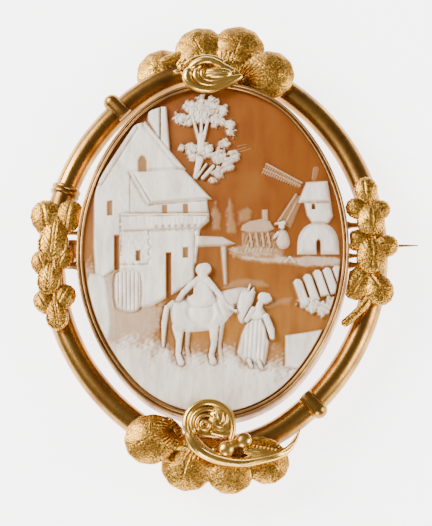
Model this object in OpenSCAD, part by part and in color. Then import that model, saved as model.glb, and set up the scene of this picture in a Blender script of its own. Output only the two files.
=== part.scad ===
// Oval shell cameo brooch in a gold tube frame with leaf sprays, scrolls and a hinged pin.
// It lies on its back: +Z looks out of the carved face, +Y is the top of the picture.

/* [Tube frame] */
// Half the width of the oval that the tube's centre line follows
tube_half_w = 21.0; // [20:0.5:24]
// Half the height of that oval
tube_half_h = 25.7; // [25:0.5:30]
// Radius of the tube's rounded ends, as a share of its half width
tube_end = 0.762; // [0.7:0.01:0.8]
// Diameter of the tube
tube_d = 3.2; // [2.8:0.1:3.8]
// How far the ring band stands out from the tube
band_rise = 0.35; // [0.2:0.05:0.6]
// Width of the ring band along the tube
band_w = 1.3; // [0.8:0.1:2.4]
// Diameter of the two pegs that lie across the tube
peg_d = 2.3; // [1.6:0.1:2.5]
// Length of each peg
peg_l = 2.6; // [2:0.1:3.2]
// Direction round the oval's end at which the upper peg lies; the lower one lies opposite
peg_turn = 134; // [130:1:142]

/* [Bezel] */
// Open gap between the tube and the bezel at the sides
side_gap = 1.8; // [1.4:0.1:2.6]
// Open gap between the tube and the bezel at the top and bottom
end_gap = 1.25; // [0.8:0.05:1.6]
// Radius of the bezel's rounded ends, as a share of its half width
bezel_end = 0.824; // [0.78:0.01:0.86]
// Height of the bezel's rim above the tube's centre line
bezel_rise = 3.5; // [3.2:0.1:4.2]
// Height of the bezel's wall
bezel_h = 2.9; // [2.7:0.1:3.4]
// Thickness of the bezel's wall
bezel_wall = 0.5; // [0.4:0.05:0.7]
// Width of the rolled rim, which covers the cameo's edge
rim_w = 0.85; // [0.75:0.05:1.1]
// Width of the ledge that the cameo rests on
ledge_w = 1.5; // [1:0.1:2.5]
// Thickness of that ledge
ledge_t = 0.4; // [0.3:0.05:0.6]

/* [Cameo] */
// Thickness of the shell at the cameo's middle
shell_t = 1.7; // [1.4:0.1:1.8]
// Radius of the ball whose surface the cameo's face follows
dome_r = 300; // [250:10:500]
// Height of the lowest carving, such as the meadow and the far trees
relief_low = 0.3; // [0.2:0.05:0.4]
// Height of the buildings
relief_mid = 0.6; // [0.45:0.05:0.75]
// Height of the horse, its rider and the standing figure
relief_high = 0.9; // [0.8:0.05:1.2]

/* [Sprays] */
// Width of the fan spray at the top
top_spray_w = 21.0; // [19:0.5:23]
// Width of the fan spray at the bottom
bottom_spray_w = 19.5; // [18:0.5:21.5]
// Height of the leaf spray on the left
left_spray_h = 17.0; // [15:0.5:19]
// Height of the lobed spray on the right
right_spray_h = 17.0; // [15:0.5:19]
// Thickness of a leaf at its rim
leaf_t = 0.5; // [0.4:0.05:0.7]
// How far a leaf's middle swells above its rim, as a share of its radius
leaf_dome = 0.3; // [0.2:0.02:0.4]
// Width of the ribs on the leaves
rib_w = 0.3; // [0.2:0.05:0.4]

/* [Scrolls] */
// Width of the shell scroll at the top
top_scroll_w = 8.5; // [7.5:0.5:10]
// Width of the scroll band at the bottom
bottom_scroll_w = 14.6; // [13.6:0.2:16]
// Height of the scrolls' crests above the bezel's rim
scroll_rise = 1.0; // [0.8:0.1:1.4]

/* [Pin] */
// Diameter of the pin's stem
stem_d = 0.9; // [0.7:0.05:1]
// Height of the pin above the middle of the oval, towards the top
pin_up = 1.6; // [0:0.2:3]
// How far the point reaches past the tube's centre line
point_reach = 5.56; // [3.5:0.2:6.5]
// Length of the stem's tapered point
point_l = 7.5; // [6:0.5:8]
// Diameter of the rivet that the pin turns on
rivet_d = 0.7; // [0.5:0.05:0.8]
// Diameter of the stem's eye
eye_d = 1.7; // [1.6:0.1:1.9]
// Width of the stem's eye
eye_w = 1.3; // [1.2:0.1:1.6]
// Length of the stem's thicker neck past its eye
neck_l = 0.8; // [0.6:0.1:1.2]
// Thickness of each hinge ear
ear_t = 0.6; // [0.4:0.1:0.8]
// Thickness of the catch's hook
hook_t = 0.45; // [0.4:0.05:0.7]
// Width of the catch along the pin
hook_w = 1.4; // [1:0.1:2.2]

/* [Clearances] */
// Gap left between pieces that are seated on each other
seat_gap = 0.05; // [0.03:0.01:0.08]
// Radial gap between the rivet and the stem's eye
rivet_gap = 0.05; // [0.03:0.01:0.1]
// Gap between the moving pin and what it passes
swing_gap = 0.15; // [0.1:0.05:0.25]

/* [Hidden] */
gold = "goldenrod";
polished_gold = "gold";
shell = "antiquewhite";
$fn = 48;
oval_steps = 46;
tube_sides = 12;
tube_r = tube_d / 2;
stem_r = stem_d / 2;
tube_end_r = tube_half_w * tube_end;

// Heights from the tube's centre line, which lies at tube_z above the floor
hook_r = stem_r + swing_gap;
stem_drop = tube_r + swing_gap + stem_r;
tube_z = stem_drop + hook_r + hook_t;
tube_top = tube_r + seat_gap;
rim_z = bezel_rise;
wall_z = rim_z - bezel_h;
lip_t = 0.45;
lip_z = rim_z - lip_t;

// The bezel's outer oval and the cameo's own oval, just inside the bezel's wall
bezel_half_w = tube_half_w - tube_r - side_gap;
bezel_half_h = tube_half_h - tube_r - end_gap;
bezel_end_r = bezel_half_w * bezel_end;
cameo_in = bezel_wall + seat_gap;
cameo_half_w = bezel_half_w - cameo_in;
cameo_half_h = bezel_half_h - cameo_in;
cameo_end_r = bezel_end_r - cameo_in;
// The face's ball meets the underside of the lip at the cameo's sides
face_drop = dome_r - sqrt(dome_r * dome_r - cameo_half_w * cameo_half_w);
face_z = lip_z - seat_gap + face_drop;
shell_back_z = face_z - shell_t;
ledge_z = shell_back_z - seat_gap;
// The carving stays inside the rim's inner edge and is rooted this deep in the shell
carving_in = rim_w - bezel_wall + seat_gap;
carving_root = 0.6;

// Sprays: each row is a leaf, and all but the rise are shares of the spray's own size.
// Columns: [across, up, radius, rise]; rise is the leaf's back as a share of the tube's radius.
TOP_LEAVES = [
    [-0.321, -0.020, 0.164, -0.22], [-0.079, 0.112, 0.164, 0.16],
    [0.149, 0.107, 0.174, 0.16], [0.352, -0.074, 0.157, 1.06]
];
BOTTOM_LEAVES = [
    [-0.412, 0.043, 0.164, 1.06], [-0.166, -0.108, 0.175, 0.16],
    [0.108, -0.151, 0.156, 0.16], [0.348, -0.102, 0.143, 0.16]
];
LEFT_LEAVES = [
    [-0.045, 0.299, 0.122, 1.06], [0.140, 0.312, 0.107, 1.06], [0.008, 0.066, 0.114, 1.28],
    [-0.069, -0.069, 0.091, 1.06], [0.099, -0.024, 0.084, 1.06], [-0.009, -0.228, 0.099, 1.28],
    [-0.048, -0.378, 0.084, 1.06], [0.104, -0.341, 0.091, 1.06], [0.056, -0.512, 0.091, 1.28]
];
RIGHT_LEAVES = [
    [-0.065, 0.472, 0.092, 1.06], [-0.136, 0.321, 0.084, 1.06], [0.046, 0.294, 0.084, 1.06],
    [-0.032, 0.200, 0.091, 1.28], [-0.125, 0.062, 0.091, 1.15], [0.094, 0.011, 0.098, 1.15],
    [-0.036, -0.074, 0.106, 1.38], [-0.145, -0.285, 0.121, 1.15], [0.034, -0.335, 0.128, 1.15]
];
// Stems of the side sprays, with the same columns
LEFT_STEM = [[0.045, 0.30, 0.030, 1.34], [0.035, 0, 0.032, 1.42], [0.045, -0.45, 0.026, 1.42]];
RIGHT_STEM = [
    [-0.05, 0.45, 0.030, 1.34], [-0.03, 0.2, 0.034, 1.5], [-0.035, -0.074, 0.036, 1.5],
    [-0.045, -0.30, 0.036, 1.42], [-0.08, -0.44, 0.032, 1.3], [-0.20, -0.56, 0.028, 1.3],
    [-0.263, -0.606, 0.012, 1.3]
];
// Angles round the end arc's centre that the twigs of the two fans run between
TOP_TWIG = [113, 61];
BOTTOM_TWIG = [242, 292];

// Carved outlines, as shares of the cameo's half width and half height
HOUSE = [
    [-0.91, -0.08], [-0.92, 0.39], [-0.59, 0.78], [-0.50, 0.79], [-0.50, 0.87], [-0.36, 0.88],
    [-0.32, 0.58], [-0.25, 0.48], [-0.10, 0.30], [-0.13, -0.10]
];
WING_ROOF = [[-0.61, 0.43], [-0.47, 0.27], [-0.02, 0.29], [-0.08, 0.21], [-0.68, 0.21]];
GALLERY = [[-0.70, 0.21], [-0.02, 0.21], [-0.04, 0.09], [-0.66, 0.09]];
LEAN_TO = [[-0.13, 0.09], [0.07, 0.06], [0.19, 0.01], [-0.13, 0.01]];
LOWER_STOREY = [[-0.64, 0.10], [-0.13, 0.09], [-0.13, -0.23], [-0.35, -0.32], [-0.75, -0.12]];
GATE = [[-0.75, -0.12], [-0.53, -0.12], [-0.53, -0.38], [-0.75, -0.34]];
PIER = [[-0.96, -0.08], [-0.76, -0.12], [-0.75, -0.40], [-0.90, -0.43]];
FOLIAGE = [[-0.29, 0.60], [-0.09, 0.64], [0.21, 0.54], [0.18, 0.43], [-0.05, 0.40], [-0.21, 0.44]];
MILL = [
    [0.64, -0.06], [0.64, 0.08], [0.74, 0.14], [0.70, 0.27], [0.65, 0.28], [0.72, 0.39],
    [0.87, 0.40], [0.90, 0.27], [0.92, 0.18], [0.96, 0.06], [0.96, -0.06]
];
COTTAGE = [[0.24, -0.04], [0.24, 0.15], [0.31, 0.23], [0.44, 0.20], [0.44, -0.04]];
HEDGE = [[-0.08, -0.05], [0.66, -0.03], [0.97, -0.06], [0.96, -0.14], [0.66, -0.12], [-0.08, -0.09]];
FENCE = [[0.62, -0.21], [0.97, -0.13], [0.97, -0.33], [0.88, -0.41], [0.68, -0.33]];
BLOCK = [[0.55, -0.52], [0.85, -0.50], [0.79, -0.60], [0.69, -0.70], [0.54, -0.71]];
MEADOW = [
    [-1, -0.08], [-0.85, -0.40], [-0.47, -0.34], [-0.28, -0.32], [-0.02, -0.24], [-0.02, -0.06],
    [0.06, -0.06], [0.10, -0.42], [0.40, -0.50], [0.70, -0.60], [1, -0.60], [1, -1], [-1, -1]
];
// Openings cut into the walls: [across, up, width, height]
OPENINGS = [
    [-0.54, 0.53, 0.07, 0.10], [-0.38, 0.17, 0.05, 0.07], [-0.24, 0.17, 0.05, 0.07],
    [-0.70, 0.15, 0.05, 0.09], [-0.29, -0.04, 0.05, 0.08], [-0.54, -0.04, 0.05, 0.07],
    [-0.39, -0.12, 0.04, 0.30], [-0.83, 0.02, 0.06, 0.24], [0.79, 0.23, 0.05, 0.05], [0.80, 0, 0.07, 0.10]
];
// Crowns of the tree: [across, up, radius]
CROWNS = [
    [-0.22, 0.82, 0.09], [-0.08, 0.88, 0.09], [0.06, 0.84, 0.09], [0.10, 0.74, 0.07],
    [-0.14, 0.74, 0.06], [-0.02, 0.77, 0.07]
];
// Limbs: [across, up, radius] at one end and the same at the other end
TRUNKS = [[[-0.12, 0.76, 0.02], [-0.05, 0.60, 0.03]], [[0.08, 0, 0.02], [0.08, -0.22, 0.02]]];
SAILS = [
    [[0.69, 0.35, 0.02], [0.40, 0.49, 0.04]], [[0.69, 0.35, 0.02], [0.50, 0.14, 0.04]],
    [[0.69, 0.35, 0.02], [0.79, 0.49, 0.04]]
];
HORSE = [
    [[-0.23, -0.42, 0.14], [0, -0.40, 0.11]], [[0, -0.38, 0.09], [0.15, -0.29, 0.05]],
    [[0.17, -0.27, 0.05], [0.32, -0.31, 0.03]], [[-0.30, -0.46, 0.06], [-0.28, -0.68, 0.03]],
    [[-0.20, -0.50, 0.05], [-0.23, -0.69, 0.03]], [[0.04, -0.47, 0.05], [0.02, -0.70, 0.03]],
    [[-0.03, -0.47, 0.05], [-0.04, -0.66, 0.03]], [[-0.36, -0.40, 0.03], [-0.37, -0.58, 0.02]]
];
RIDER = [
    [[-0.10, -0.20, 0.07], [-0.05, -0.36, 0.08]], [[-0.08, -0.12, 0.05], [-0.08, -0.16, 0.05]],
    [[-0.04, -0.24, 0.04], [0.09, -0.30, 0.03]]
];
WALKER = [
    [[0.40, -0.42, 0.08], [0.34, -0.65, 0.11]], [[0.39, -0.31, 0.05], [0.39, -0.33, 0.05]],
    [[0.36, -0.40, 0.04], [0.27, -0.46, 0.03]]
];
FAR_WALKER = [[[0.52, 0.13, 0.03], [0.53, 0.02, 0.04]]];
STONES = [[[0.50, -0.75, 0.04], [0.52, -0.77, 0.03]], [[0.63, -0.78, 0.03], [0.64, -0.80, 0.03]]];
pickets = 5;

// An oval of four arcs: half width w, half height h and the radius r of its two ends
function side_r(w, h, r) = (w * w + (h - r) * (h - r) - r * r) / (2 * (w - r));
function join_angle(w, h, r) = atan2(h - r, side_r(w, h, r) - w);
function fold(t) = let (q = ((t % 360) + 360) % 360) q > 180 ? q - 360 : q;
// The point of the oval whose outward direction is t
function oval_point(w, h, r, t) =
    let (big = side_r(w, h, r), join = join_angle(w, h, r), q = fold(t))
    abs(q) <= join ? [w - big + big * cos(q), big * sin(q)]
    : abs(q) >= 180 - join ? [big - w + big * cos(q), big * sin(q)]
    : [r * cos(q), sign(q) * (h - r) + r * sin(q)];
// Half the oval's width at height y, on its side arcs, and the arc's direction there
function side_angle(w, h, r, y) = asin(y / side_r(w, h, r));
function side_x(w, h, r, y) = w - side_r(w, h, r) * (1 - cos(side_angle(w, h, r, y)));
function ring_section(r, sides) =
    [for (i = [0 : sides - 1]) [r * cos(i * 360 / sides), r * sin(i * 360 / sides)]];
// Triangles between neighbouring sections of n points each
function skin(n, from, to) = [
    for (j = [0 : n - 1]) let (m = (j + 1) % n)
        each [[from * n + j, from * n + m, to * n + m], [from * n + j, to * n + m, to * n + j]]
];

// Carries a section, a list of [outward, up], round the oval
module oval_sweep(w, h, r, section) {
    n = len(section);
    points = [
        for (i = [0 : oval_steps - 1]) let (t = i * 360 / oval_steps, p = oval_point(w, h, r, t))
            for (s = section) [p.x + s.x * cos(t), p.y + s.x * sin(t), s.y]
    ];
    polyhedron(points, [for (i = [0 : oval_steps - 1]) each skin(n, i, (i + 1) % oval_steps)]);
}

// The filled oval, grown outwards by grow
module oval_face(w, h, r, grow = 0) {
    polygon([
        for (i = [0 : oval_steps - 1]) let (t = i * 360 / oval_steps)
            oval_point(w, h, r, t) + grow * [cos(t), sin(t)]
    ]);
}

// A round ridge along a path of [x, y, z] with a radius at each point, flattened upwards by flat
module ridge(path, radii, flat = 1, sides = 6) {
    last = len(path) - 1;
    points = [
        for (i = [0 : last])
            let (ahead = path[min(i + 1, last)] - path[max(i - 1, 0)], run = norm([ahead.x, ahead.y]))
            for (s = ring_section(radii[i], sides))
                path[i] + [s.x * ahead.y / run, -s.x * ahead.x / run, s.y * flat]
    ];
    sides_faces = [for (i = [0 : last - 1]) each skin(sides, i, i + 1)];
    start = [for (j = [sides - 1 : -1 : 0]) j];
    finish = [for (j = [0 : sides - 1]) last * sides + j];
    polyhedron(points, concat([start], sides_faces, [finish]));
}

function row_place(row, size) = [row[0] * size, row[1] * size, row[3] * tube_r];
// Height of a leaf's face above its back, at a share of its radius
function leaf_height(r, share) = leaf_t + leaf_dome * r * (1 - share * share);

// A domed leaf with a pleated edge and a flat back; rings are shares of its radius
module leaf(r, sides, rings) {
    pleat = 0.05;
    count = len(rings);
    points = concat(
        [[0, 0, leaf_height(r, 0)]],
        [for (share = rings) each leaf_ring(r, share, sides, pleat * share, leaf_height(r, share))],
        leaf_ring(r, 1, sides, pleat, 0)
    );
    top = [for (i = [0 : sides - 1]) [0, 1 + (i + 1) % sides, 1 + i]];
    bands = [
        for (k = [0 : count - 1]) for (i = [0 : sides - 1])
            let (a = 1 + k * sides + i, b = 1 + k * sides + (i + 1) % sides)
            each [[a, b, b + sides], [a, b + sides, a + sides]]
    ];
    back = [for (i = [0 : sides - 1]) 1 + count * sides + i];
    polyhedron(points, concat(top, bands, [back]));
}
function leaf_ring(r, share, sides, pleat, z) = [
    for (i = [0 : sides - 1]) let (a = i * 360 / sides, reach = r * share * (i % 2 == 0 ? 1 : 1 - pleat))
        [reach * cos(a), reach * sin(a), z]
];

// Ribs that fan out over a leaf from its root, at the given angles from the leaf's own direction
module leaf_ribs(r, direction, angles) {
    start = 0.72;
    end = 0.7;
    for (a = angles) hull() {
        translate([-start * r * cos(direction), -start * r * sin(direction), leaf_height(r, start)])
            sphere(rib_w / 2, $fn = 6);
        translate([end * r * cos(direction + a), end * r * sin(direction + a), leaf_height(r, end)])
            sphere(rib_w / 2, $fn = 6);
    }
}

// Leaves of one spray, each with ribs that point away from the spray's root
module leaves(rows, size, sides, rings, root, angles) {
    for (row = rows) translate(row_place(row, size)) {
        r = row[2] * size;
        direction = atan2(row[1] * size - root.y, row[0] * size - root.x);
        rotate([0, 0, direction]) leaf(r, sides, rings);
        leaf_ribs(r, direction, angles);
    }
}

// Cuts the seats of the tube and of the bezel, with a small gap, out of what lies on them
module seated() {
    room = 4;
    difference() {
        children();
        oval_sweep(tube_half_w, tube_half_h, tube_end_r, ring_section(tube_top, tube_sides));
        translate([0, 0, tube_r * 0.9 - room])
            linear_extrude(room) oval_face(tube_half_w, tube_half_h, tube_end_r);
        translate([0, 0, rim_z + seat_gap - room])
            linear_extrude(room) oval_face(bezel_half_w, bezel_half_h, bezel_end_r, seat_gap);
    }
}

module at_tube() {
    translate([-middle_x, -middle_y, tube_z]) children();
}

module frame_tube() {
    color(polished_gold) at_tube() {
        oval_sweep(tube_half_w, tube_half_h, tube_end_r, ring_section(tube_r, tube_sides));
        ring_band();
        peg(peg_turn);
        peg(peg_turn + 180);
    }
}

// A cuff round the tube, at its upper left
module ring_band() {
    big = side_r(tube_half_w, tube_half_h, tube_end_r);
    angle = 180 - 18.9;
    at = [big - tube_half_w + big * cos(angle), big * sin(angle), 0];
    translate(at) rotate([0, 0, angle]) rotate([90, 0, 0])
        cylinder(h = band_w, r = tube_r + band_rise, center = true);
}

// A peg with a rounded end that lies across the tube; t is the direction round the oval
module peg(t) {
    p = oval_point(tube_half_w, tube_half_h, tube_end_r, t);
    lift = tube_r * 0.62;
    inner = -peg_l / 2;
    translate([p.x, p.y, lift]) rotate([0, 0, t]) {
        translate([inner, 0, 0]) rotate([0, 90, 0]) cylinder(h = peg_l, d = peg_d);
        translate([inner + peg_l, 0, 0]) sphere(d = peg_d);
    }
}

module bezel() {
    struts = [[-1, 3.1, 0.5], [-1, -1.4, 0.9], [1, 3.5, 0.7], [1, -0.6, 0.5], [1, -1.9, 0.7]];
    color(polished_gold) at_tube() {
        oval_sweep(bezel_half_w, bezel_half_h, bezel_end_r, bezel_section());
        for (s = struts) strut(s[0], s[1], s[2]);
    }
}

// A rod from the bezel's wall to the tube, on the given side, at height y, with solder at its foot
module strut(side, y, d) {
    lift = wall_z + d * 0.55;
    wall_x = side_x(bezel_half_w, bezel_half_h, bezel_end_r, y);
    from = wall_x - bezel_wall * 0.6;
    tube_x = side_x(tube_half_w, tube_half_h, tube_end_r, y);
    to = tube_x - sqrt(pow(tube_r + seat_gap, 2) - pow(lift - d / 2, 2)) - 2 * seat_gap;
    mirror([side < 0 ? 1 : 0, 0, 0]) {
        hull() for (x = [from, to - seat_gap]) disc(x, y, lift, d);
        hull() {
            disc(from, y, lift + d * 0.05, d * 1.5);
            disc(wall_x + d * 0.4, y, lift, d * 1.02);
        }
    }
}
module disc(x, y, z, d) {
    translate([x, y, z]) rotate([11, 0, 0]) rotate([0, 90, 0]) cylinder(h = seat_gap, d = d, $fn = 8);
}

// Section of the bezel: a wall with a two-bead rim over the cameo's edge and a ledge under it
function bezel_section() = let (bead = rim_w * 0.22) [
    [0, wall_z], [0, rim_z - bead], [-bead, rim_z], [-rim_w + bead * 1.9, rim_z - bead],
    [-rim_w + bead * 0.8, rim_z - bead * 0.2], [-rim_w, lip_z], [-bezel_wall, lip_z],
    [-bezel_wall, ledge_z], [-ledge_w, ledge_z], [-ledge_w, ledge_z - ledge_t],
    [-bezel_wall, ledge_z - ledge_t], [-bezel_wall, wall_z]
];

// Height of the cameo's face
function ball_z(x, y) = face_z - dome_r + sqrt(dome_r * dome_r - x * x - y * y);
function carved(share) = [share[0] * cameo_half_w, share[1] * cameo_half_h];

module cameo() {
    color(shell) at_tube() {
        shell_plate();
        intersection() {
            translate([0, 0, shell_back_z + seat_gap]) linear_extrude(shell_t + 2 * relief_high)
                oval_face(cameo_half_w, cameo_half_h, cameo_end_r, -carving_in);
            carving();
        }
    }
}

// The domed oval of shell, with a flat back
module shell_plate() {
    rings = [0.35, 0.7, 1];
    count = len(rings);
    n = oval_steps;
    face = [
        for (share = rings) for (i = [0 : n - 1])
            let (p = share * oval_point(cameo_half_w, cameo_half_h, cameo_end_r, i * 360 / n))
            [p.x, p.y, ball_z(p.x, p.y)]
    ];
    back_ring = [
        for (i = [0 : n - 1]) let (p = oval_point(cameo_half_w, cameo_half_h, cameo_end_r, i * 360 / n))
            [p.x, p.y, shell_back_z]
    ];
    top = [for (i = [0 : n - 1]) [0, 1 + (i + 1) % n, 1 + i]];
    bands = [
        for (k = [0 : count - 1]) for (i = [0 : n - 1])
            let (a = 1 + k * n + i, b = 1 + k * n + (i + 1) % n)
            each [[a, b, b + n], [a, b + n, a + n]]
    ];
    back = [for (i = [0 : n - 1]) 1 + count * n + i];
    polyhedron(concat([[0, 0, face_z]], face, back_ring), concat(top, bands, [back]));
}

module carving() {
    raised(MEADOW, relief_low);
    raised(HEDGE, relief_low);
    raised(FOLIAGE, relief_low);
    raised(COTTAGE, relief_low);
    difference() {
        union() {
            raised(HOUSE, relief_mid * 0.75);
            raised(LOWER_STOREY, relief_mid);
            raised(MILL, relief_mid * 0.75);
        }
        for (o = OPENINGS) opening(o);
    }
    raised(WING_ROOF, relief_mid * 1.1);
    raised(GALLERY, relief_mid * 1.2);
    raised(LEAN_TO, relief_mid * 1.1);
    raised(PIER, relief_mid);
    raised(BLOCK, relief_mid);
    pickets_of(GATE);
    pickets_of(FENCE);
    for (c = CROWNS) limb([c, c], relief_mid);
    for (rows = [TRUNKS, SAILS, FAR_WALKER, STONES]) for (row = rows) limb(row, relief_mid);
    for (rows = [HORSE, RIDER, WALKER]) for (row = rows) limb(row, relief_high);
}

// A flat-faced layer of carving over an outline
module raised(outline, height) {
    points = [for (share = outline) carved(share)];
    middle = [for (k = [0, 1]) (min([for (p = points) p[k]]) + max([for (p = points) p[k]])) / 2];
    translate([0, 0, ball_z(middle.x, middle.y) - carving_root])
        linear_extrude(carving_root + height) polygon(points);
}

module opening(row) {
    p = carved([row[0], row[1]]);
    size = carved([row[2], row[3]]);
    translate([p.x, p.y, ball_z(p.x, p.y) + relief_low * 0.5 + relief_high / 2])
        cube([size.x, size.y, relief_high], center = true);
}

// Upright boards side by side over a four or five cornered outline
module pickets_of(outline) {
    points = [for (share = outline) carved(share)];
    left = min([for (p = points) p.x]);
    right = max([for (p = points) p.x]);
    step = (right - left) / pickets;
    intersection() {
        raised(outline, relief_mid);
        for (i = [0 : pickets - 1]) translate([left + (i + 0.08) * step, -cameo_half_h, 0])
            cube([step * 0.8, 2 * cameo_half_h, 2 * face_z]);
    }
}

// A rounded, flattened limb between two ends
module limb(row, height) {
    hull() for (tip = row) {
        p = carved([tip[0], tip[1]]);
        r = tip[2] * cameo_half_w;
        flat = height / max(r, height);
        translate([p.x, p.y, ball_z(p.x, p.y)]) rotate([0, 0, 17]) scale([1, 1, flat]) sphere(r, $fn = 6);
    }
}

module top_spray() {
    color(gold) at_tube() seated() {
        translate([0, tube_half_h, 0])
            leaves(TOP_LEAVES, top_spray_w, 18, [0.45, 0.8, 1], [0, -tube_r * 2], [-27, 25]);
        twig(1, TOP_TWIG);
    }
}

module bottom_spray() {
    color(gold) at_tube() seated() {
        translate([0, -tube_half_h, 0])
            leaves(BOTTOM_LEAVES, bottom_spray_w, 17, [0.45, 0.8, 1], [0, tube_r * 2], [-27, 25]);
        twig(-1, BOTTOM_TWIG);
    }
}

// The bent wire under a fan of leaves, along the outside of the tube
module twig(side, span) {
    wire_r = tube_r * 0.5;
    steps = 12;
    bend = tube_end_r + tube_r + wire_r;
    path = [
        for (i = [0 : steps]) let (a = span[0] + (span[1] - span[0]) * i / steps)
            [bend * cos(a), side * (tube_half_h - tube_end_r) + bend * sin(a), twig_z(side, i / steps)]
    ];
    ridge(path, [for (i = [0 : steps]) wire_r], 0.8);
}
// The wire dips from the leaf that lies over the tube to the leaves that lie beside it
function twig_z(side, share) =
    let (low = tube_r * 0.4, high = tube_top + tube_r * 0.3, over = side > 0 ? share : 1 - share)
    low + (high - low) * max(0, over - 0.7) / 0.3;

module left_spray() {
    color(gold) at_tube() seated() translate([-tube_half_w, 0, 0]) {
        leaves(LEFT_LEAVES, left_spray_h, 12, [0.6, 1], [left_spray_h * 0.03, left_spray_h * 0.7], [0]);
        stem_ridge(LEFT_STEM, left_spray_h);
    }
}

module right_spray() {
    color(gold) at_tube() seated() translate([tube_half_w, 0, 0]) {
        leaves(RIGHT_LEAVES, right_spray_h, 12, [0.6, 1], [-right_spray_h * 0.03, -right_spray_h * 0.7], [0]);
        stem_ridge(RIGHT_STEM, right_spray_h);
    }
}

module stem_ridge(rows, size) {
    ridge([for (row = rows) row_place(row, size)], [for (row = rows) row[2] * size]);
}

module top_scroll() {
    unit = top_scroll_w / 8.5;
    crest = rim_z + scroll_rise;
    body_z = rim_z + scroll_rise * 0.35;
    color(polished_gold) at_tube() seated() translate([0, tube_half_h, 0]) union() {
        // The shell's body narrows to a tip on the right
        hull() {
            lens([-1.6, -2.4, body_z], 2.1, unit, scroll_rise * 0.5);
            lens([3.7, -1.9, body_z - 0.2], 0.5, unit, scroll_rise * 0.3);
        }
        lens([0.9, -1.6, body_z], 1.5, unit, scroll_rise * 0.65);
        for (turn = [[2.05, 0.42], [1.45, 0.34], [0.9, 0.28]])
            ridge(
                [for (a = [110 : 20 : 330]) unit * [0.2 + 1.55 * turn[0] * cos(a), turn[0] * sin(a) - 1.9, 0]
                    + [0, 0, crest - 0.6]],
                [for (a = [110 : 20 : 330]) unit * turn[1] * (a > 290 ? 0.6 : 1)]
            );
        // The arch above it, which leaves a small hole
        ridge(
            [for (a = [170 : -20 : 10]) unit * [0.1 + 2.9 * cos(a), 1.5 * sin(a) - 1, 0] + [0, 0, rim_z]],
            [for (a = [170 : -20 : 10]) unit * 0.5], 1.2
        );
        for (i = [0 : 4]) flute(
            [-2.6 + i * 0.3, -1.3 + i * 0.1, crest - 0.7], [-2.3 + i * 0.35, -3.5 - i * 0.1, crest - 0.75], 0.24, unit
        );
        foot([-2.1 * unit, -0.6 * unit]);
        foot([2.4 * unit, -0.9 * unit]);
    }
}

module lens(at, r, unit, rise) {
    translate([unit * at.x, unit * at.y, at.z]) scale([1, 1, rise / (unit * r)]) sphere(unit * r, $fn = 14);
}

// A post under a scroll, which stands on the tube
module foot(at) {
    hull() {
        translate([at.x, at.y, tube_r * 0.6]) sphere(tube_r * 0.4, $fn = 8);
        translate([at.x, at.y, rim_z]) sphere(tube_r * 0.4, $fn = 8);
    }
}

module bottom_scroll() {
    unit = bottom_scroll_w / 14.6;
    crest = rim_z + scroll_rise;
    // Band and tail: [across, up, radius, height as a share of the rim's height]
    band = [
        [-2.4, 0.6, 0.75, 1], [-2.0, -0.3, 0.8, 0.95], [-1.2, -1.0, 0.8, 0.9], [-0.2, -1.6, 0.78, 0.82],
        [1.0, -2.0, 0.75, 0.74], [2.5, -2.25, 0.7, 0.66], [4.0, -2.3, 0.7, 0.66], [6.3, -1.8, 0.8, 0.7],
        [8.0, -1.4, 0.7, 0.65], [9.4, -0.7, 0.5, 0.48], [10.4, 0.6, 0.3, 0.45], [11.0, 2.1, 0.12, 0.42]
    ];
    color(polished_gold) at_tube() seated() translate([0, -tube_half_h, 0]) union() {
        lens([-0.3, 2.1, rim_z + scroll_rise * 0.3], 2.7, unit, scroll_rise * 0.5);
        for (turn = [[2.75, 0.5, 200, -40], [2.0, 0.4, 200, 50], [1.35, 0.34, 210, 50]])
            ridge(
                [for (i = [0 : 12]) let (a = turn[2] + (turn[3] - turn[2]) * i / 12)
                    unit * [turn[0] * cos(a) - 0.3, turn[0] * sin(a) + 2.1, 0] + [0, 0, crest - 0.6]],
                [for (i = [0 : 12]) unit * turn[1]]
            );
        // Eye of the scroll and the fluted leaf on its right
        lens([-0.77, 2.06, crest - 0.5], 0.8, unit, scroll_rise * 0.5);
        for (x = [1.0, 1.5, 2.0]) flute([x, 3.4, crest - 0.6], [x + 0.2, 1.4, crest - 0.6], 0.28, unit);
        ridge(
            [for (row = band) [row[0] * unit, row[1] * unit, row[3] * rim_z]],
            [for (row = band) row[2] * unit], 0.8
        );
        // Two knobs under the scroll and the beaded edge of the leaf on the tail
        flute([1.9, -0.5, rim_z * 0.75], [1.9, 1.0, rim_z * 0.95], 0.95, unit);
        flute([3.7, 0.4, rim_z * 0.75], [1.9, 0.1, rim_z * 0.8], 0.9, unit);
        for (i = [0 : 5]) flute(
            [4.6 + i * 0.55, -0.6 - i * 0.12, rim_z * 0.68], [4.9 + i * 0.55, -1.8, rim_z * 0.68], 0.32, unit
        );
        foot([-1.5 * unit, -0.15 * unit]);
        foot([0.2 * unit, -0.2 * unit]);
    }
}

module flute(from, to, r, unit) {
    hull() for (tip = [from, to])
        translate([unit * tip.x, unit * tip.y, tip.z]) sphere(unit * r, $fn = 8);
}

// Hinge: its axis runs along Y, inside the left of the tube
hinge_in = tube_r + eye_d / 2 - seat_gap;
hinge_x = hinge_in - side_x(tube_half_w, tube_half_h, tube_end_r, pin_up);
hinge_z = -stem_drop;
saddle_t = 0.5;

// The tube's seat in what is fixed under its side, true round along one arc
module side_seat(side, r) {
    big = side_r(tube_half_w, tube_half_h, tube_end_r);
    mirror([side < 0 ? 1 : 0, 0, 0]) translate([tube_half_w - big, 0, 0]) rotate([0, 0, -12])
        rotate_extrude(angle = 24) translate([big, 0]) circle(r);
}

// Plate in the XZ plane, of the given thickness along Y
module plate_y(y, thick) {
    translate([0, y + thick, 0]) rotate([90, 0, 0]) linear_extrude(thick) children();
}

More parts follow.
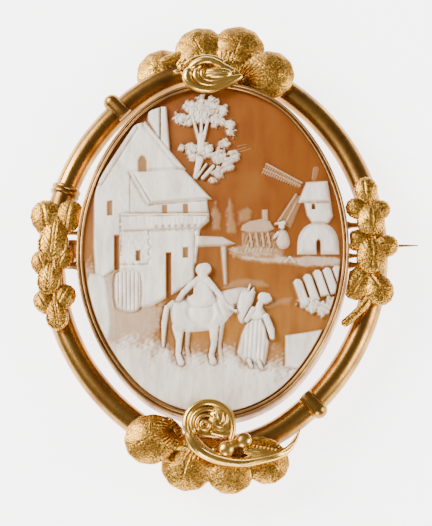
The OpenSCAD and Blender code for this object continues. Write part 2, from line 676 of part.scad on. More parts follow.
module pin_hinge() {
    ear_gap = 0.05;
    inner_y = eye_w / 2 + ear_gap;
    saddle_y = inner_y + ear_t;
    saddle_left = hinge_x - hinge_in - tube_r * 0.6;
    saddle_low = -tube_r - saddle_t;
    color(gold) at_tube() {
        difference() {
            union() {
                for (y = [pin_up - saddle_y, pin_up + inner_y]) plate_y(y, ear_t) {
                    translate([hinge_x, hinge_z]) circle(d = eye_d);
                    translate([saddle_left, saddle_low])
                        square([hinge_x - saddle_left, hinge_z + eye_d / 2 - saddle_low]);
                }
                translate([saddle_left, pin_up - saddle_y, saddle_low])
                    cube([hinge_in - eye_d / 2 + tube_r * 0.4, 2 * saddle_y, saddle_t + tube_r * 0.5]);
            }
            side_seat(-1, tube_r + seat_gap);
        }
        translate([hinge_x, pin_up + saddle_y, hinge_z]) rotate([90, 0, 0])
            cylinder(h = 2 * saddle_y, d = rivet_d);
    }
}

module pin_catch() {
    outer = hook_r + hook_t;
    // The hook stands beside the resting pin, far enough for the pin to swing past it
    hook_y = pin_up - stem_r - swing_gap - outer * 0.7;
    catch_x = side_x(tube_half_w, tube_half_h, tube_end_r, hook_y);
    color(gold) at_tube() difference() {
        translate([catch_x - hook_w / 2, hook_y, -stem_drop]) rotate([90, 0, 90]) linear_extrude(hook_w) {
            difference() {
                circle(outer);
                circle(hook_r);
                translate([outer / 2, -outer / 2]) square([outer, 2 * outer]);
                translate([0, -hook_r]) square([outer, 3 * outer]);
            }
            translate([-outer - saddle_t, -hook_r]) square([hook_t + saddle_t, tube_r + hook_r]);
        }
        side_seat(1, tube_r + seat_gap);
    }
}

// One length of the stem; from is measured from the start of its neck
module stretch(from, length, r1, r2) {
    translate([0, 0, from]) cylinder(h = length, r1 = r1, r2 = r2);
}

module pin_stem() {
    tip_x = tube_half_w + point_reach;
    neck_x = hinge_x + rivet_d / 2 + rivet_gap + stem_r * 0.4;
    neck_run = hinge_x + eye_d / 2 + neck_l - neck_x;
    stem_run = tip_x - point_l - neck_x - neck_run;
    neck_r = eye_w * 0.475;
    tip_r = 0.08;
    color(polished_gold) at_tube() difference() {
        union() {
            translate([hinge_x, pin_up + eye_w / 2, hinge_z]) rotate([90, 0, 0])
                cylinder(h = eye_w, d = eye_d);
            translate([neck_x, pin_up, -stem_drop]) rotate([0, 90, 0]) {
                stretch(0, neck_run, neck_r, neck_r);
                stretch(neck_run, stem_run, stem_r, stem_r);
                stretch(neck_run + stem_run, point_l, stem_r, tip_r);
            }
        }
        translate([hinge_x, pin_up + eye_w, hinge_z]) rotate([90, 0, 0])
            cylinder(h = 2 * eye_w, d = rivet_d + 2 * rivet_gap);
    }
}

// The origin is below the middle of the whole brooch
function reach(rows, size, k, sign_k, anchor) =
    max([for (row = rows) sign_k * (anchor + row[k] * size) + row[2] * size]);
right_reach = tube_half_w + point_reach;
left_reach = reach(LEFT_LEAVES, left_spray_h, 0, -1, -tube_half_w);
top_reach = reach(TOP_LEAVES, top_spray_w, 1, 1, tube_half_h);
bottom_reach = reach(BOTTOM_LEAVES, bottom_spray_w, 1, -1, -tube_half_h);
middle_x = (right_reach - left_reach) / 2;
middle_y = (top_reach - bottom_reach) / 2;

frame_tube();
bezel();
cameo();
top_spray();
top_scroll();
bottom_spray();
bottom_scroll();
left_spray();
right_spray();
pin_hinge();
pin_catch();
pin_stem();
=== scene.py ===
"""Looks of an oval shell cameo brooch: gold tube frame, leaf sprays, shell scrolls and carved cameo."""
import logging
from dataclasses import dataclass, field
from enum import Enum

import bpy
import numpy as np
from mathutils import Matrix, Vector


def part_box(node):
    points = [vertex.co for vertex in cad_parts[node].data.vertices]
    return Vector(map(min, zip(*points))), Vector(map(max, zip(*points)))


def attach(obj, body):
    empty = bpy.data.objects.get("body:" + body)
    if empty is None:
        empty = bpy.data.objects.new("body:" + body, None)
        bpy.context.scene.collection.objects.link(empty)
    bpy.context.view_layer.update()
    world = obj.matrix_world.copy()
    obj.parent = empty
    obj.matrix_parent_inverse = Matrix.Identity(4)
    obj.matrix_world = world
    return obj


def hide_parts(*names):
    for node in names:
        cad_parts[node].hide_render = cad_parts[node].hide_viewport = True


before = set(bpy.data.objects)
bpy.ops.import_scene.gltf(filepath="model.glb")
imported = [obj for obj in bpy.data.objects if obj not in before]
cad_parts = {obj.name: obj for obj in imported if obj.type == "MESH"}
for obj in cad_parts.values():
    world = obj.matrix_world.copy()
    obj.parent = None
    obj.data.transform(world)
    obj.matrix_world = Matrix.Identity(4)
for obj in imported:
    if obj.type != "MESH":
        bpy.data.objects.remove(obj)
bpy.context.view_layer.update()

MM = 0.001
SMALL_LENS = 0.65  # half length in mm below which a lens is made of fewer points
log = logging.getLogger("cameo_brooch")


# Shapes -------------------------------------------------------------------

@dataclass
class Surface:
    """A closed surface in mm: points, and the faces with four and with three corners."""

    points: np.ndarray
    quads: np.ndarray
    tris: np.ndarray

    def outward(self) -> "Surface":
        """Turns every face round if the signed volume, a sum over corner products, is negative.

        Returns:
            The surface itself.
        """
        q, p = self.quads, self.points
        faces = np.concatenate([q[:, [0, 1, 2]], q[:, [0, 2, 3]], self.tris])
        a, b, c = p[faces[:, 0]], p[faces[:, 1]], p[faces[:, 2]]
        if np.einsum("ij,ij->", a, np.cross(b, c)) < 0:
            self.quads, self.tris = self.quads[:, ::-1], self.tris[:, ::-1]
        return self


def merge(surfaces: list[Surface]) -> Surface:
    """Puts several surfaces into one.

    Args:
        surfaces: the closed surfaces.

    Returns:
        One surface with all points and faces.
    """
    start = np.cumsum([0] + [len(s.points) for s in surfaces])
    return Surface(
        np.concatenate([s.points for s in surfaces]),
        np.concatenate([s.quads + k for s, k in zip(surfaces, start)]),
        np.concatenate([s.tris + k for s, k in zip(surfaces, start)]),
    )


def skin_rings(rings: np.ndarray, loop: bool = False) -> Surface:
    """Skins a stack of closed rings; the stack closes on itself, or each end closes at its middle.

    Args:
        rings: points as [ring, place round the ring, xyz].
        loop: whether the last ring joins the first.

    Returns:
        The closed surface.
    """
    rows, cols = rings.shape[:2]
    index = np.arange(rows * cols).reshape(rows, cols)
    a, b = (index, np.roll(index, -1, 0)) if loop else (index[:-1], index[1:])
    quads = np.stack([a, np.roll(a, -1, 1), np.roll(b, -1, 1), b], -1).reshape(-1, 4)
    points = rings.reshape(-1, 3)
    if loop:
        return Surface(points, quads, np.zeros((0, 3), int)).outward()
    points = np.concatenate([points, rings[[0, -1]].mean(axis=1)])
    first, last = index[0], index[-1]
    count = rows * cols
    tris = np.concatenate([
        np.stack([np.full(cols, count), np.roll(first, -1), first], -1),
        np.stack([np.full(cols, count + 1), last, np.roll(last, -1)], -1),
    ])
    return Surface(points, quads, tris).outward()


def around(count: int) -> np.ndarray:
    """So many directions round a circle, in radians."""
    return np.linspace(0, 2 * np.pi, count, endpoint=False)


def smooth_step(low: float, high: float, value: np.ndarray) -> np.ndarray:
    """Goes from 0 at low to 1 at high along 3t² - 2t³."""
    t = np.clip((value - low) / (high - low), 0, 1)
    return t * t * (3 - 2 * t)


def smooth_rows(rows: list, count: int) -> np.ndarray:
    """Resamples a table along the curve of Catmull and Rom that passes through its rows.

    Args:
        rows: the table, a row for each place on the path.
        count: how many rows to return.

    Returns:
        The resampled table.
    """
    table = np.array(rows, float)
    u = np.linspace(0, len(table) - 1, count)
    i = np.minimum(u.astype(int), len(table) - 2)
    t = (u - i)[:, None]
    last = len(table) - 1
    a, b, c, d = table[np.maximum(i - 1, 0)], table[i], table[i + 1], table[np.minimum(i + 2, last)]
    return 0.5 * (2 * b + (c - a) * t + (2 * a - 5 * b + 4 * c - d) * t**2 + (3 * b - a - 3 * c + d) * t**3)


def rounded(outline: list, rounds: int = 2) -> list:
    """Rounds an outline: each pass replaces a corner by points a quarter of the way along its two edges.

    Args:
        outline: its corners.
        rounds: how many passes.

    Returns:
        The new corners.
    """
    points = np.array(outline, float)
    for _ in range(rounds):
        following = np.roll(points, -1, 0)
        points = np.stack([0.75 * points + 0.25 * following, 0.25 * points + 0.75 * following], 1).reshape(-1, 2)
    return points.tolist()


def ripple(x: np.ndarray, y: np.ndarray, size: float, seed: int) -> np.ndarray:
    """Soft seeded unevenness from -1 to 1: the mean of twelve plane waves about size mm long.

    Args:
        x: across, in mm.
        y: up, in mm.
        size: wave length in mm.
        seed: picks the waves.

    Returns:
        The height of the sum at each place.
    """
    rng = np.random.default_rng(seed)
    turn, phase = rng.uniform(0, 2 * np.pi, (2, 12))
    wave = 2 * np.pi / (size * rng.uniform(0.7, 1.5, 12))
    along = x[..., None] * np.cos(turn) + y[..., None] * np.sin(turn)
    return np.cos(along * wave + phase).mean(-1) * 2


def ridge(rows: list, flat: float, sides: int, steps: int = 0) -> Surface:
    """A rounded ridge: a circle, flattened upwards, carried along a smooth path.

    The radius falls off along a quarter circle over each end.

    Args:
        rows: places as (x, y, z, radius) in mm.
        flat: height of the section as a share of its width.
        sides: points round the section.
        steps: rings along the path, or 0 for eight a row.

    Returns:
        The closed surface.
    """
    table = smooth_rows(rows, steps or 8 * len(rows))
    path, radius = table[:, :3], np.maximum(table[:, 3], 0.02)
    run = np.concatenate([[0], np.cumsum(np.linalg.norm(np.diff(path, axis=0), axis=1))])
    share = np.clip(np.minimum(run, run[-1] - run) / radius, 0, 1)
    radius = radius * np.sqrt(np.maximum(1 - (1 - share) ** 2, 0.01))
    ahead = np.gradient(path, axis=0)
    ahead /= np.linalg.norm(ahead, axis=1, keepdims=True)
    side = np.cross(ahead, [0, 0, 1])
    side /= np.maximum(np.linalg.norm(side, axis=1, keepdims=True), 1e-6)
    up = np.cross(side, ahead)
    turn = around(sides)[None, :, None]
    ring = np.cos(turn) * side[:, None] + flat * np.sin(turn) * up[:, None]
    return skin_rings(path[:, None] + ring * radius[:, None, None])


def rod(start: tuple, end: tuple, profile: list, sides: int) -> Surface:
    """A turned piece: a radius for each place along a straight axis, spun round it.

    Args:
        start: one end of the axis.
        end: its other end.
        profile: (share of the way, radius) pairs.
        sides: points round the piece.

    Returns:
        The closed surface.
    """
    a, b = np.array(start, float), np.array(end, float)
    table = np.array(profile, float)
    axis = (b - a) / np.linalg.norm(b - a)
    side = np.cross(axis, [0.0, 0.0, 1.0] if abs(axis[2]) < 0.9 else [1.0, 0.0, 0.0])
    side /= np.linalg.norm(side)
    up = np.cross(side, axis)
    turn = around(sides)[None, :, None]
    ring = np.cos(turn) * side + np.sin(turn) * up
    middle = a + (b - a) * table[:, :1]
    return skin_rings(middle[:, None] + ring * table[:, 1, None, None])


def lens(x: float, y: float, z: float, wide: float, high: float, rise: float, turn: float = 0.0,
         waves: int = 0, depth: float = 0.0) -> Surface:
    """A lens of two shallow domes, rise * sqrt(1 - s²), with ripples that run across its length.

    Args:
        x, y, z: its middle in mm.
        wide: half its length.
        high: half its width.
        rise: how far each dome rises.
        turn: degrees that its length is turned by.
        waves: ripples over the half width.
        depth: depth of the ripples in mm.

    Returns:
        The closed surface.
    """
    rows, cols = (11, 36) if wide < SMALL_LENS else (24, 64)
    share = np.sin(np.linspace(0.03, np.pi / 2, rows))
    s = np.concatenate([share, share[::-1]])[:, None]
    face = np.repeat([1.0, -1.0], rows)[:, None]
    a = around(cols)[None, :]
    u, v = s * np.cos(a) * wide, s * np.sin(a) * high
    height = face * rise * np.sqrt(np.maximum(1 - s**2, 0)) * np.ones_like(a)
    height = height + (face > 0) * depth * np.cos(v / high * np.pi * waves) * (1 - s**4)
    c, d = np.cos(np.radians(turn)), np.sin(np.radians(turn))
    return skin_rings(np.stack([x + u * c - v * d, y + u * d + v * c, z + height], -1))


@dataclass(frozen=True)
class Oval:
    """A four-centred oval: half width, half height, and the radius of its rounded ends, in mm."""

    w: float
    h: float
    r: float

    @property
    def side_r(self) -> float:
        """Radius of the side arcs, which meet the end arcs smoothly."""
        return (self.w**2 + (self.h - self.r) ** 2 - self.r**2) / (2 * (self.w - self.r))

    @property
    def join(self) -> float:
        """Outward direction, in radians, where a side arc meets an end arc."""
        return float(np.arctan2(self.h - self.r, self.side_r - self.w))

    def point(self, t: np.ndarray) -> np.ndarray:
        """The points whose outward direction is t radians, from the arc that holds each of them.

        Args:
            t: the directions.

        Returns:
            Their x and y in mm.
        """
        big, q = self.side_r, np.arctan2(np.sin(t), np.cos(t))
        side = np.minimum(np.abs(q), np.pi - np.abs(q)) <= self.join
        turned = np.where(np.cos(q) < 0, -1.0, 1.0)
        x = np.where(side, turned * (self.w - big) + big * np.cos(q), self.r * np.cos(q))
        y = np.where(side, big * np.sin(q), np.sign(q) * (self.h - self.r) + self.r * np.sin(q))
        return np.stack([x, y], -1)

    def half_width(self, y: np.ndarray) -> np.ndarray:
        """Half the oval's width at a height: the side arc's, or beyond its end the end arc's.

        Args:
            y: heights in mm above the middle.

        Returns:
            The half widths in mm.
        """
        big, y = self.side_r, np.abs(y)
        side = self.w - big + np.sqrt(big**2 - y**2)
        end = np.sqrt(np.maximum(self.r**2 - np.maximum(y - (self.h - self.r), 0) ** 2, 0))
        return np.where(y <= big * np.sin(self.join), side, end)

    def outside(self, x: np.ndarray, y: np.ndarray) -> tuple[np.ndarray, np.ndarray]:
        """How far points lie outside the oval, and which way is out.

        The distance is taken from the centre of the arc whose sector holds the point.

        Args:
            x: across, in mm.
            y: up, in mm.

        Returns:
            The distance, negative inside, and the outward directions.
        """
        ax, ay, big = np.abs(x), np.abs(y), self.side_r
        side = np.arctan2(ay, ax - (self.w - big)) <= self.join
        cx, cy = np.where(side, self.w - big, 0.0), np.where(side, 0.0, self.h - self.r)
        dx, dy = ax - cx, ay - cy
        far = np.maximum(np.hypot(dx, dy), 1e-9)
        out = np.stack([dx / far * np.where(x < 0, -1, 1), dy / far * np.where(y < 0, -1, 1)], -1)
        return far - np.where(side, big, self.r), out

    def sweep(self, section: np.ndarray, steps: int) -> Surface:
        """Carries a closed section round the oval.

        Args:
            section: its corners as (outward, up) in mm.
            steps: how many places round the oval.

        Returns:
            The closed ring.
        """
        t = around(steps)
        out = np.stack([np.cos(t), np.sin(t)], -1)
        flat = self.point(t)[:, None] + out[:, None] * section[None, :, :1]
        up = np.broadcast_to(section[None, :, 1:], flat.shape[:2] + (1,))
        return skin_rings(np.concatenate([flat, up], -1), loop=True)


# Making pieces ------------------------------------------------------------

def put(name: str, data: bpy.types.ID) -> bpy.types.Object:
    """Puts a mesh, a light or a camera into the scene.

    Args:
        name: the object's name.
        data: what it shows.

    Returns:
        The object.
    """
    made = bpy.data.objects.new(name, data)
    bpy.context.scene.collection.objects.link(made)
    return made


class Slot(Enum):
    """The record's finishes, by name; nothing in the script uses them."""

    POLISHED = "polished_gold"
    STIPPLED = "stippled_gold"
    SCROLL = "scroll_gold"
    SHELL = "carved_shell"


@dataclass(frozen=True)
class Bench:
    """Where the oval's middle, in the tube's plane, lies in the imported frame, in mm."""

    x: float
    y: float
    z: float

    @staticmethod
    def from_frame(band_r: float) -> "Bench":
        """Works the place out from the tube's box: its middle, and one band radius above its underside.

        Args:
            band_r: outer radius of the ring band, which reaches lowest.

        Returns:
            The bench.
        """
        low, high = (np.array(corner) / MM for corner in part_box("frame_tube"))
        return Bench(float(low[0] + high[0]) / 2, float(low[1] + high[1]) / 2, float(low[2]) + band_r)

    def make(self, name: str, surface: Surface, material: bpy.types.Material,
             nodes: list[str], body: str = "brooch", crease: float = 40.0) -> bpy.types.Object:
        """Puts a surface into a mesh, shades it smooth up to a crease, and lets it stand for CAD nodes.

        Args:
            name: the piece's name.
            surface: its closed surface, in mm from the oval's middle.
            material: its finish.
            nodes: the CAD nodes that it replaces.
            body: the body that it rides on.
            crease: degrees above which an edge stays sharp.

        Returns:
            The object.
        """
        mesh = bpy.data.meshes.new(name)
        points = (surface.points + [self.x, self.y, self.z]) * MM
        corners = np.concatenate([surface.quads.ravel(), surface.tris.ravel()])
        fours, threes = len(surface.quads), len(surface.tris)
        starts = np.concatenate([np.arange(fours) * 4, fours * 4 + np.arange(threes) * 3])
        mesh.vertices.add(len(points))
        mesh.vertices.foreach_set("co", points.astype(np.float32).ravel())
        mesh.loops.add(len(corners))
        mesh.loops.foreach_set("vertex_index", corners.astype(np.int32))
        mesh.polygons.add(len(starts))
        mesh.polygons.foreach_set("loop_start", starts.astype(np.int32))
        mesh.update(calc_edges=True)
        mesh.shade_smooth()
        mesh.set_sharp_from_angle(angle=np.radians(crease))
        mesh.materials.append(material)
        piece = put(name, mesh)
        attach(piece, body)
        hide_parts(*nodes)
        log.info("%s: %d points, %d faces", name, len(points), len(starts))
        return piece


# Finishes -----------------------------------------------------------------

def linear(colour: str) -> tuple:
    """Turns an sRGB hex colour into linear light with full alpha."""
    s = [int(colour[i:i + 2], 16) / 255 for i in (1, 3, 5)]
    return tuple(c / 12.92 if c <= 0.04045 else ((c + 0.055) / 1.055) ** 2.4 for c in s) + (1.0,)


def fill(tree: bpy.types.NodeTree, node: bpy.types.Node, **sockets: object) -> None:
    """Sets inputs of a node to values, or links them to outputs of other nodes.

    Args:
        tree: the material's nodes.
        node: the node.
        sockets: value or output for each input, by the input's name or, after an underscore, its place.
    """
    for key, value in sockets.items():
        socket = node.inputs[int(key[1:])] if key[0] == "_" else node.inputs[key.replace("_", " ")]
        if isinstance(value, bpy.types.NodeSocket):
            tree.links.new(value, socket)
        else:
            socket.default_value = value


def add(tree: bpy.types.NodeTree, kind: str, settings: dict | None = None, **sockets: object) -> bpy.types.Node:
    """Adds a node with its settings, and fills its sockets.

    Args:
        tree: the material's nodes.
        kind: the node's type.
        settings: properties of the node itself.
        sockets: what fill takes.

    Returns:
        The node.
    """
    made = tree.nodes.new(kind)
    for key, value in (settings or {}).items():
        setattr(made, key, value)
    fill(tree, made, **sockets)
    return made


def start(name: str) -> tuple[bpy.types.Material, bpy.types.NodeTree, bpy.types.Node, bpy.types.NodeSocket]:
    """Starts a material.

    Args:
        name: the material's name.

    Returns:
        The material, its nodes, its shader and the Object coordinates.
    """
    material = bpy.data.materials.new(name)
    material.use_nodes = True
    tree = material.node_tree
    place = add(tree, "ShaderNodeTexCoord").outputs["Object"]
    return material, tree, tree.nodes["Principled BSDF"], place


def grain(tree: bpy.types.NodeTree, place: bpy.types.NodeSocket, size_mm: float,
          detail: float = 3.0) -> bpy.types.NodeSocket:
    """Noise whose lumps are size_mm across, as a value from 0 to 1."""
    made = add(tree, "ShaderNodeTexNoise", Vector=place, Scale=1 / (size_mm * MM), Detail=detail)
    return made.outputs["Fac"]


def blend(tree: bpy.types.NodeTree, share: object, first: object, second: object) -> bpy.types.NodeSocket:
    """Mixes two colours by a share."""
    made = add(tree, "ShaderNodeMix", {"data_type": "RGBA"}, _0=share, _6=first, _7=second)
    return made.outputs[2]


def between(tree: bpy.types.NodeTree, value: bpy.types.NodeSocket, low: float, high: float,
            to_low: float = 0.0, to_high: float = 1.0) -> bpy.types.NodeSocket:
    """Stretches a value from low..high to to_low..to_high, clamped."""
    made = add(tree, "ShaderNodeMapRange", Value=value, _1=low, _2=high, _3=to_low, _4=to_high)
    return made.outputs["Result"]


@dataclass(frozen=True)
class Gold:
    """Worked gold: metallic, with a darker tarnish in broad clouds, and a grain that is seen as bump and sparkle."""

    name: str
    bright: str
    tarnish: str
    cloud_mm: float
    cover: float
    smooth: float
    rough: float
    grain_mm: float
    grain_depth_mm: float
    strength: float = 1.0
    sparkle: float = 0.1

    def build(self) -> bpy.types.Material:
        """Makes the material: cloudy colour, roughness that follows the clouds, and grain as bump.

        Returns:
            The material.
        """
        material, tree, shader, place = start(self.name)
        cloud = between(tree, grain(tree, place, self.cloud_mm), 0.35, 0.65)
        fine = grain(tree, place, self.grain_mm, 2.0)
        share = add(tree, "ShaderNodeMath", {"operation": "MULTIPLY"}, _0=cloud, _1=self.cover)
        colour = blend(tree, share.outputs[0], linear(self.bright), linear(self.tarnish))
        # Painted sparkle: the grain brightens and darkens the base colour, standing in for glitter off the punched
        # grain.
        painted_sparkle = between(tree, fine, 0.35, 0.65, 1.0 - self.sparkle, 1.0 + self.sparkle * 0.4)
        toned = add(tree, "ShaderNodeVectorMath", {"operation": "SCALE"}, _0=colour, Scale=painted_sparkle)
        bump = add(tree, "ShaderNodeBump", Height=fine, Strength=self.strength, Distance=self.grain_depth_mm * MM)
        fill(tree, shader, Base_Color=toned.outputs[0], Metallic=1.0, Normal=bump.outputs["Normal"],
             Roughness=between(tree, cloud, 0, 1, self.smooth, self.rough))
        return material


# Smooth and shiny, so the tube mirrors the room in long streaks, browner in its clouds
TUBE_GOLD = Gold("polished_tube_gold", "#B98A44", "#64401E", 4.5, 0.75, 0.22, 0.36, 0.5, 0.005)
# Softer than the tube, so the rim's two beads show as pale lines
BEZEL_GOLD = Gold("polished_bezel_gold", "#C89A60", "#6E4A2A", 4.0, 0.75, 0.32, 0.46, 0.4, 0.006)
# Punched grain that makes the leaves matt and glittering; really about 0.1 mm, drawn at 0.2 mm so that it shows, with
# its glitter painted into the colour as a strong sparkle
LEAF_GOLD = Gold("stippled_cast_gold", "#E0A848", "#8C5A22", 2.2, 0.7, 0.28, 0.42, 0.2, 0.08, 1.0, 0.7)
# Brighter and yellower than the rest, for the polished ridges between chased grooves, and with a paler base as painted
# light for the stronger light on the scroll
SCROLL_GOLD = Gold("chased_scroll_gold", "#E6BC62", "#A0702A", 2.2, 0.5, 0.22, 0.36, 0.4, 0.006)
# Paler and plainer, the hard drawn wire of the pin
PIN_GOLD = Gold("drawn_pin_gold", "#C9A878", "#8C6A42", 6.0, 0.4, 0.24, 0.34, 0.3, 0.004)


@dataclass(frozen=True)
class Shell:
    """Carved helmet shell: a white layer over orange brown, mixed by how much of the white is left.

    Thin white lets the brown through as a pink tint; the brown deepens towards the upper right. The white attribute
    also carries painted shade, so low, steep, creased and recessed places come out browner.
    """

    name: str = "carved_helmet_shell"
    white: str = "#F7EFE2"
    shade: str = "#C4B0A2"
    pink: str = "#A87E52"
    light: str = "#A06A2C"
    brown: str = "#7E4510"
    deep: str = "#6C2D05"

    def build(self) -> bpy.types.Material:
        """Makes the material from the white attribute, browns that darken upwards, and upright streaks.

        Returns:
            The material.
        """
        material, tree, shader, place = start(self.name)
        # The white attribute carries the white share together with the painted shade laid into it.
        white = add(tree, "ShaderNodeAttribute", {"attribute_name": "white"}).outputs["Fac"]
        split = add(tree, "ShaderNodeSeparateXYZ", Vector=place)
        slant = add(tree, "ShaderNodeMath", {"operation": "MULTIPLY_ADD"}, _0=split.outputs["X"], _1=0.3,
                    _2=split.outputs["Y"])
        ground = blend(tree, between(tree, slant.outputs[0], -0.012, 0.004), linear(self.light), linear(self.brown))
        long = add(tree, "ShaderNodeVectorMath", {"operation": "MULTIPLY"}, _0=place, _1=(1.0, 0.25, 1.0)).outputs[0]
        streak = between(tree, grain(tree, long, 1.6), 0.42, 0.72, 0.0, 0.5)
        ground = blend(tree, streak, ground, linear(self.deep))
        patch = between(tree, grain(tree, place, 6.0, 1.0), 0.5, 0.75, 0.0, 0.3)
        ground = blend(tree, patch, ground, linear(self.light))
        thin = between(tree, white, 0.04, 0.4)
        thick = between(tree, white, 0.3, 0.95)
        tinted = blend(tree, thin, ground, linear(self.pink))
        worn = between(tree, grain(tree, long, 1.1, 4.0), 0.38, 0.66, 0.0, 0.6)
        colour = blend(tree, thick, tinted, blend(tree, worn, linear(self.white), linear(self.shade)))
        bump = add(tree, "ShaderNodeBump", Height=grain(tree, place, 0.35), Strength=0.35, Distance=0.03 * MM)
        fill(tree, shader, Base_Color=colour, Roughness=0.42, IOR=1.53, Specular_IOR_Level=0.25,
             Subsurface_Weight=0.08, Subsurface_Scale=0.4 * MM, Normal=bump.outputs["Normal"])
        return material


@dataclass(frozen=True)
class Backdrop:
    """Matt white paper under the brooch, with a very faint mottle."""

    name: str = "matt_white_paper"
    colour: str = "#FAFAFA"
    shade: str = "#F6F6F5"
    glow: float = 4.0

    def build(self) -> bpy.types.Material:
        """Makes the material: two near whites in soft clouds, fully rough, with a glow that keeps it pale.

        Returns:
            The material.
        """
        material, tree, shader, place = start(self.name)
        colour = blend(tree, grain(tree, place, 40.0), linear(self.colour), linear(self.shade))
        fill(tree, shader, Base_Color=colour, Roughness=0.9, Specular_IOR_Level=0.2,
             Emission_Color=linear(self.colour), Emission_Strength=self.glow)
        return material


# Sub-assemblies -----------------------------------------------------------

@dataclass
class FrameTube:
    """Polished tube bent to an oval, with its ring band and two pegs; in mm, and degrees for turns."""

    oval: Oval = Oval(21.0, 25.7, 16.002)
    r: float = 1.6
    band_r: float = 1.95
    band_w: float = 1.3
    peg_d: float = 2.3
    peg_l: float = 2.6
    peg_turn: float = 134.0
    peg_lift: float = 0.62
    band_turn: float = 18.9
    groove: float = 0.16

    def tube(self) -> Surface:
        """A circle of radius r carried round the oval."""
        turn = around(44)
        return self.oval.sweep(self.r * np.stack([np.cos(turn), np.sin(turn)], -1), 440)

    def band(self) -> Surface:
        """A cuff spun round the tube's own line: two beads with a groove between them.

        Returns:
            The closed cuff.
        """
        angle = np.radians(180 - self.band_turn)
        big = self.oval.side_r
        middle = np.array([big - self.oval.w + big * np.cos(angle), big * np.sin(angle), 0])
        along = np.array([-np.sin(angle), np.cos(angle), 0]) * self.band_w / 2
        share = np.linspace(-1, 1, 25)
        bead = self.band_r - self.groove + self.groove * np.abs(np.sin(np.pi * share)) ** 0.7
        bead[[0, -1]] = self.r * 0.98
        return rod(middle - along, middle + along, np.stack([(share + 1) / 2, bead], -1), 64)

    def peg(self, degrees: float) -> Surface:
        """A round-ended peg across the tube; its end follows a quarter circle.

        Args:
            degrees: direction in which it lies.

        Returns:
            The closed peg.
        """
        t = np.radians(degrees)
        p = self.oval.point(np.array([t]))[0]
        out = np.array([np.cos(t), np.sin(t)])
        r, half = self.peg_d / 2, self.peg_l / 2
        whole = self.peg_l + r
        low, high = p - out * half, p + out * (half + r)
        lift = self.r * self.peg_lift
        quarter = np.linspace(0, np.pi / 2, 14)[:-1]
        rows = [(0, r * 0.86), (0.02, r * 0.96), (0.06, r), (self.peg_l / whole * 0.5, r * 0.97)]
        rows += [((self.peg_l + r * np.sin(q)) / whole, r * np.cos(q)) for q in quarter]
        return rod((*low, lift), (*high, lift), rows, 40)

    def dress(self, bench: Bench, gold: bpy.types.Material) -> None:
        """Makes the tube, the band and the pegs as one piece."""
        surface = merge([self.tube(), self.band(), self.peg(self.peg_turn), self.peg(self.peg_turn + 180)])
        bench.make("frame_tube_gold", surface, gold, ["frame_tube"])


@dataclass
class Bezel:
    """Collet with a two-bead rim, a ledge under the shell, and struts as (side, height, thickness); in mm."""

    oval: Oval = Oval(17.6, 22.85, 14.502)
    tube: FrameTube = field(default_factory=FrameTube)
    rim_z: float = 3.5
    wall_z: float = 0.6
    wall: float = 0.5
    rim_w: float = 0.85
    lip_z: float = 3.05
    ledge_z: float = 1.735
    ledge_w: float = 1.5
    ledge_t: float = 0.4
    struts: tuple = ((-1, 3.1, 0.5), (-1, -1.4, 0.9), (1, 3.5, 0.7), (1, -0.6, 0.5), (1, -1.9, 0.7))

    def section(self) -> np.ndarray:
        """Wall, two half-round beads with a groove between them, lip and ledge.

        Returns:
            The section's corners as (outward, up).
        """
        def bead(middle: float, up: float, r: float, first: float, last: float) -> list:
            """Part of a circle, from one direction to another."""
            return [(middle + r * np.cos(a), up + r * np.sin(a)) for a in np.radians(np.linspace(first, last, 9))]
        rows = [(0, self.wall_z), (0, 1.6), (0, 2.6)]
        rows += bead(-0.19, self.rim_z - 0.19, 0.19, 0, 165)
        rows += [(-0.415, self.rim_z - 0.27)]
        rows += bead(-0.64, self.rim_z - 0.21, 0.17, 15, 190)
        rows += [(-self.rim_w, self.lip_z + 0.05), (-self.rim_w, self.lip_z), (-self.wall, self.lip_z)]
        rows += [(-self.wall, self.ledge_z), (-self.ledge_w, self.ledge_z)]
        rows += [(-self.ledge_w, self.ledge_z - self.ledge_t), (-self.wall, self.ledge_z - self.ledge_t)]
        return np.array(rows + [(-self.wall, self.wall_z)])

    def strut(self, side: int, y: float, d: float) -> Surface:
        """A rod from the wall to the tube, which widens into solder at the wall.

        Args:
            side: 1 for the right, -1 for the left.
            y: its height above the middle.
            d: its thickness.

        Returns:
            The closed rod.
        """
        lift = self.wall_z + d * 0.55
        start_x = float(self.oval.half_width(np.array(y))) - self.wall * 0.6
        tube_x = float(self.tube.oval.half_width(np.array(y)))
        end_x = tube_x - np.sqrt((self.tube.r + 0.05) ** 2 - lift**2) - 0.03
        rows = [(0, d * 0.76), (0.2, d * 0.74), (0.34, d * 0.56), (0.5, d * 0.5), (1, d * 0.5)]
        return rod((side * start_x, y, lift), (side * end_x, y, lift), rows, 20)

    def dress(self, bench: Bench, gold: bpy.types.Material) -> None:
        """Makes the rim and its struts as one piece."""
        surface = merge([self.oval.sweep(self.section(), 420)] + [self.strut(*s) for s in self.struts])
        bench.make("bezel_gold", surface, gold, ["bezel"], crease=50)


ROOT_AT = 0.98  # how far behind a lobe's middle its root lies, as a share of its radius
FREE = -9.0  # further inside the tube's line than any leaf reaches, in mm


class LeafKind(Enum):
    """How a leaf is worked."""

    FAN = "large domed lobe of a fan"
    SIDE = "small domed lobe"
    TIP = "cupped lobe with a bright rim and a midrib"


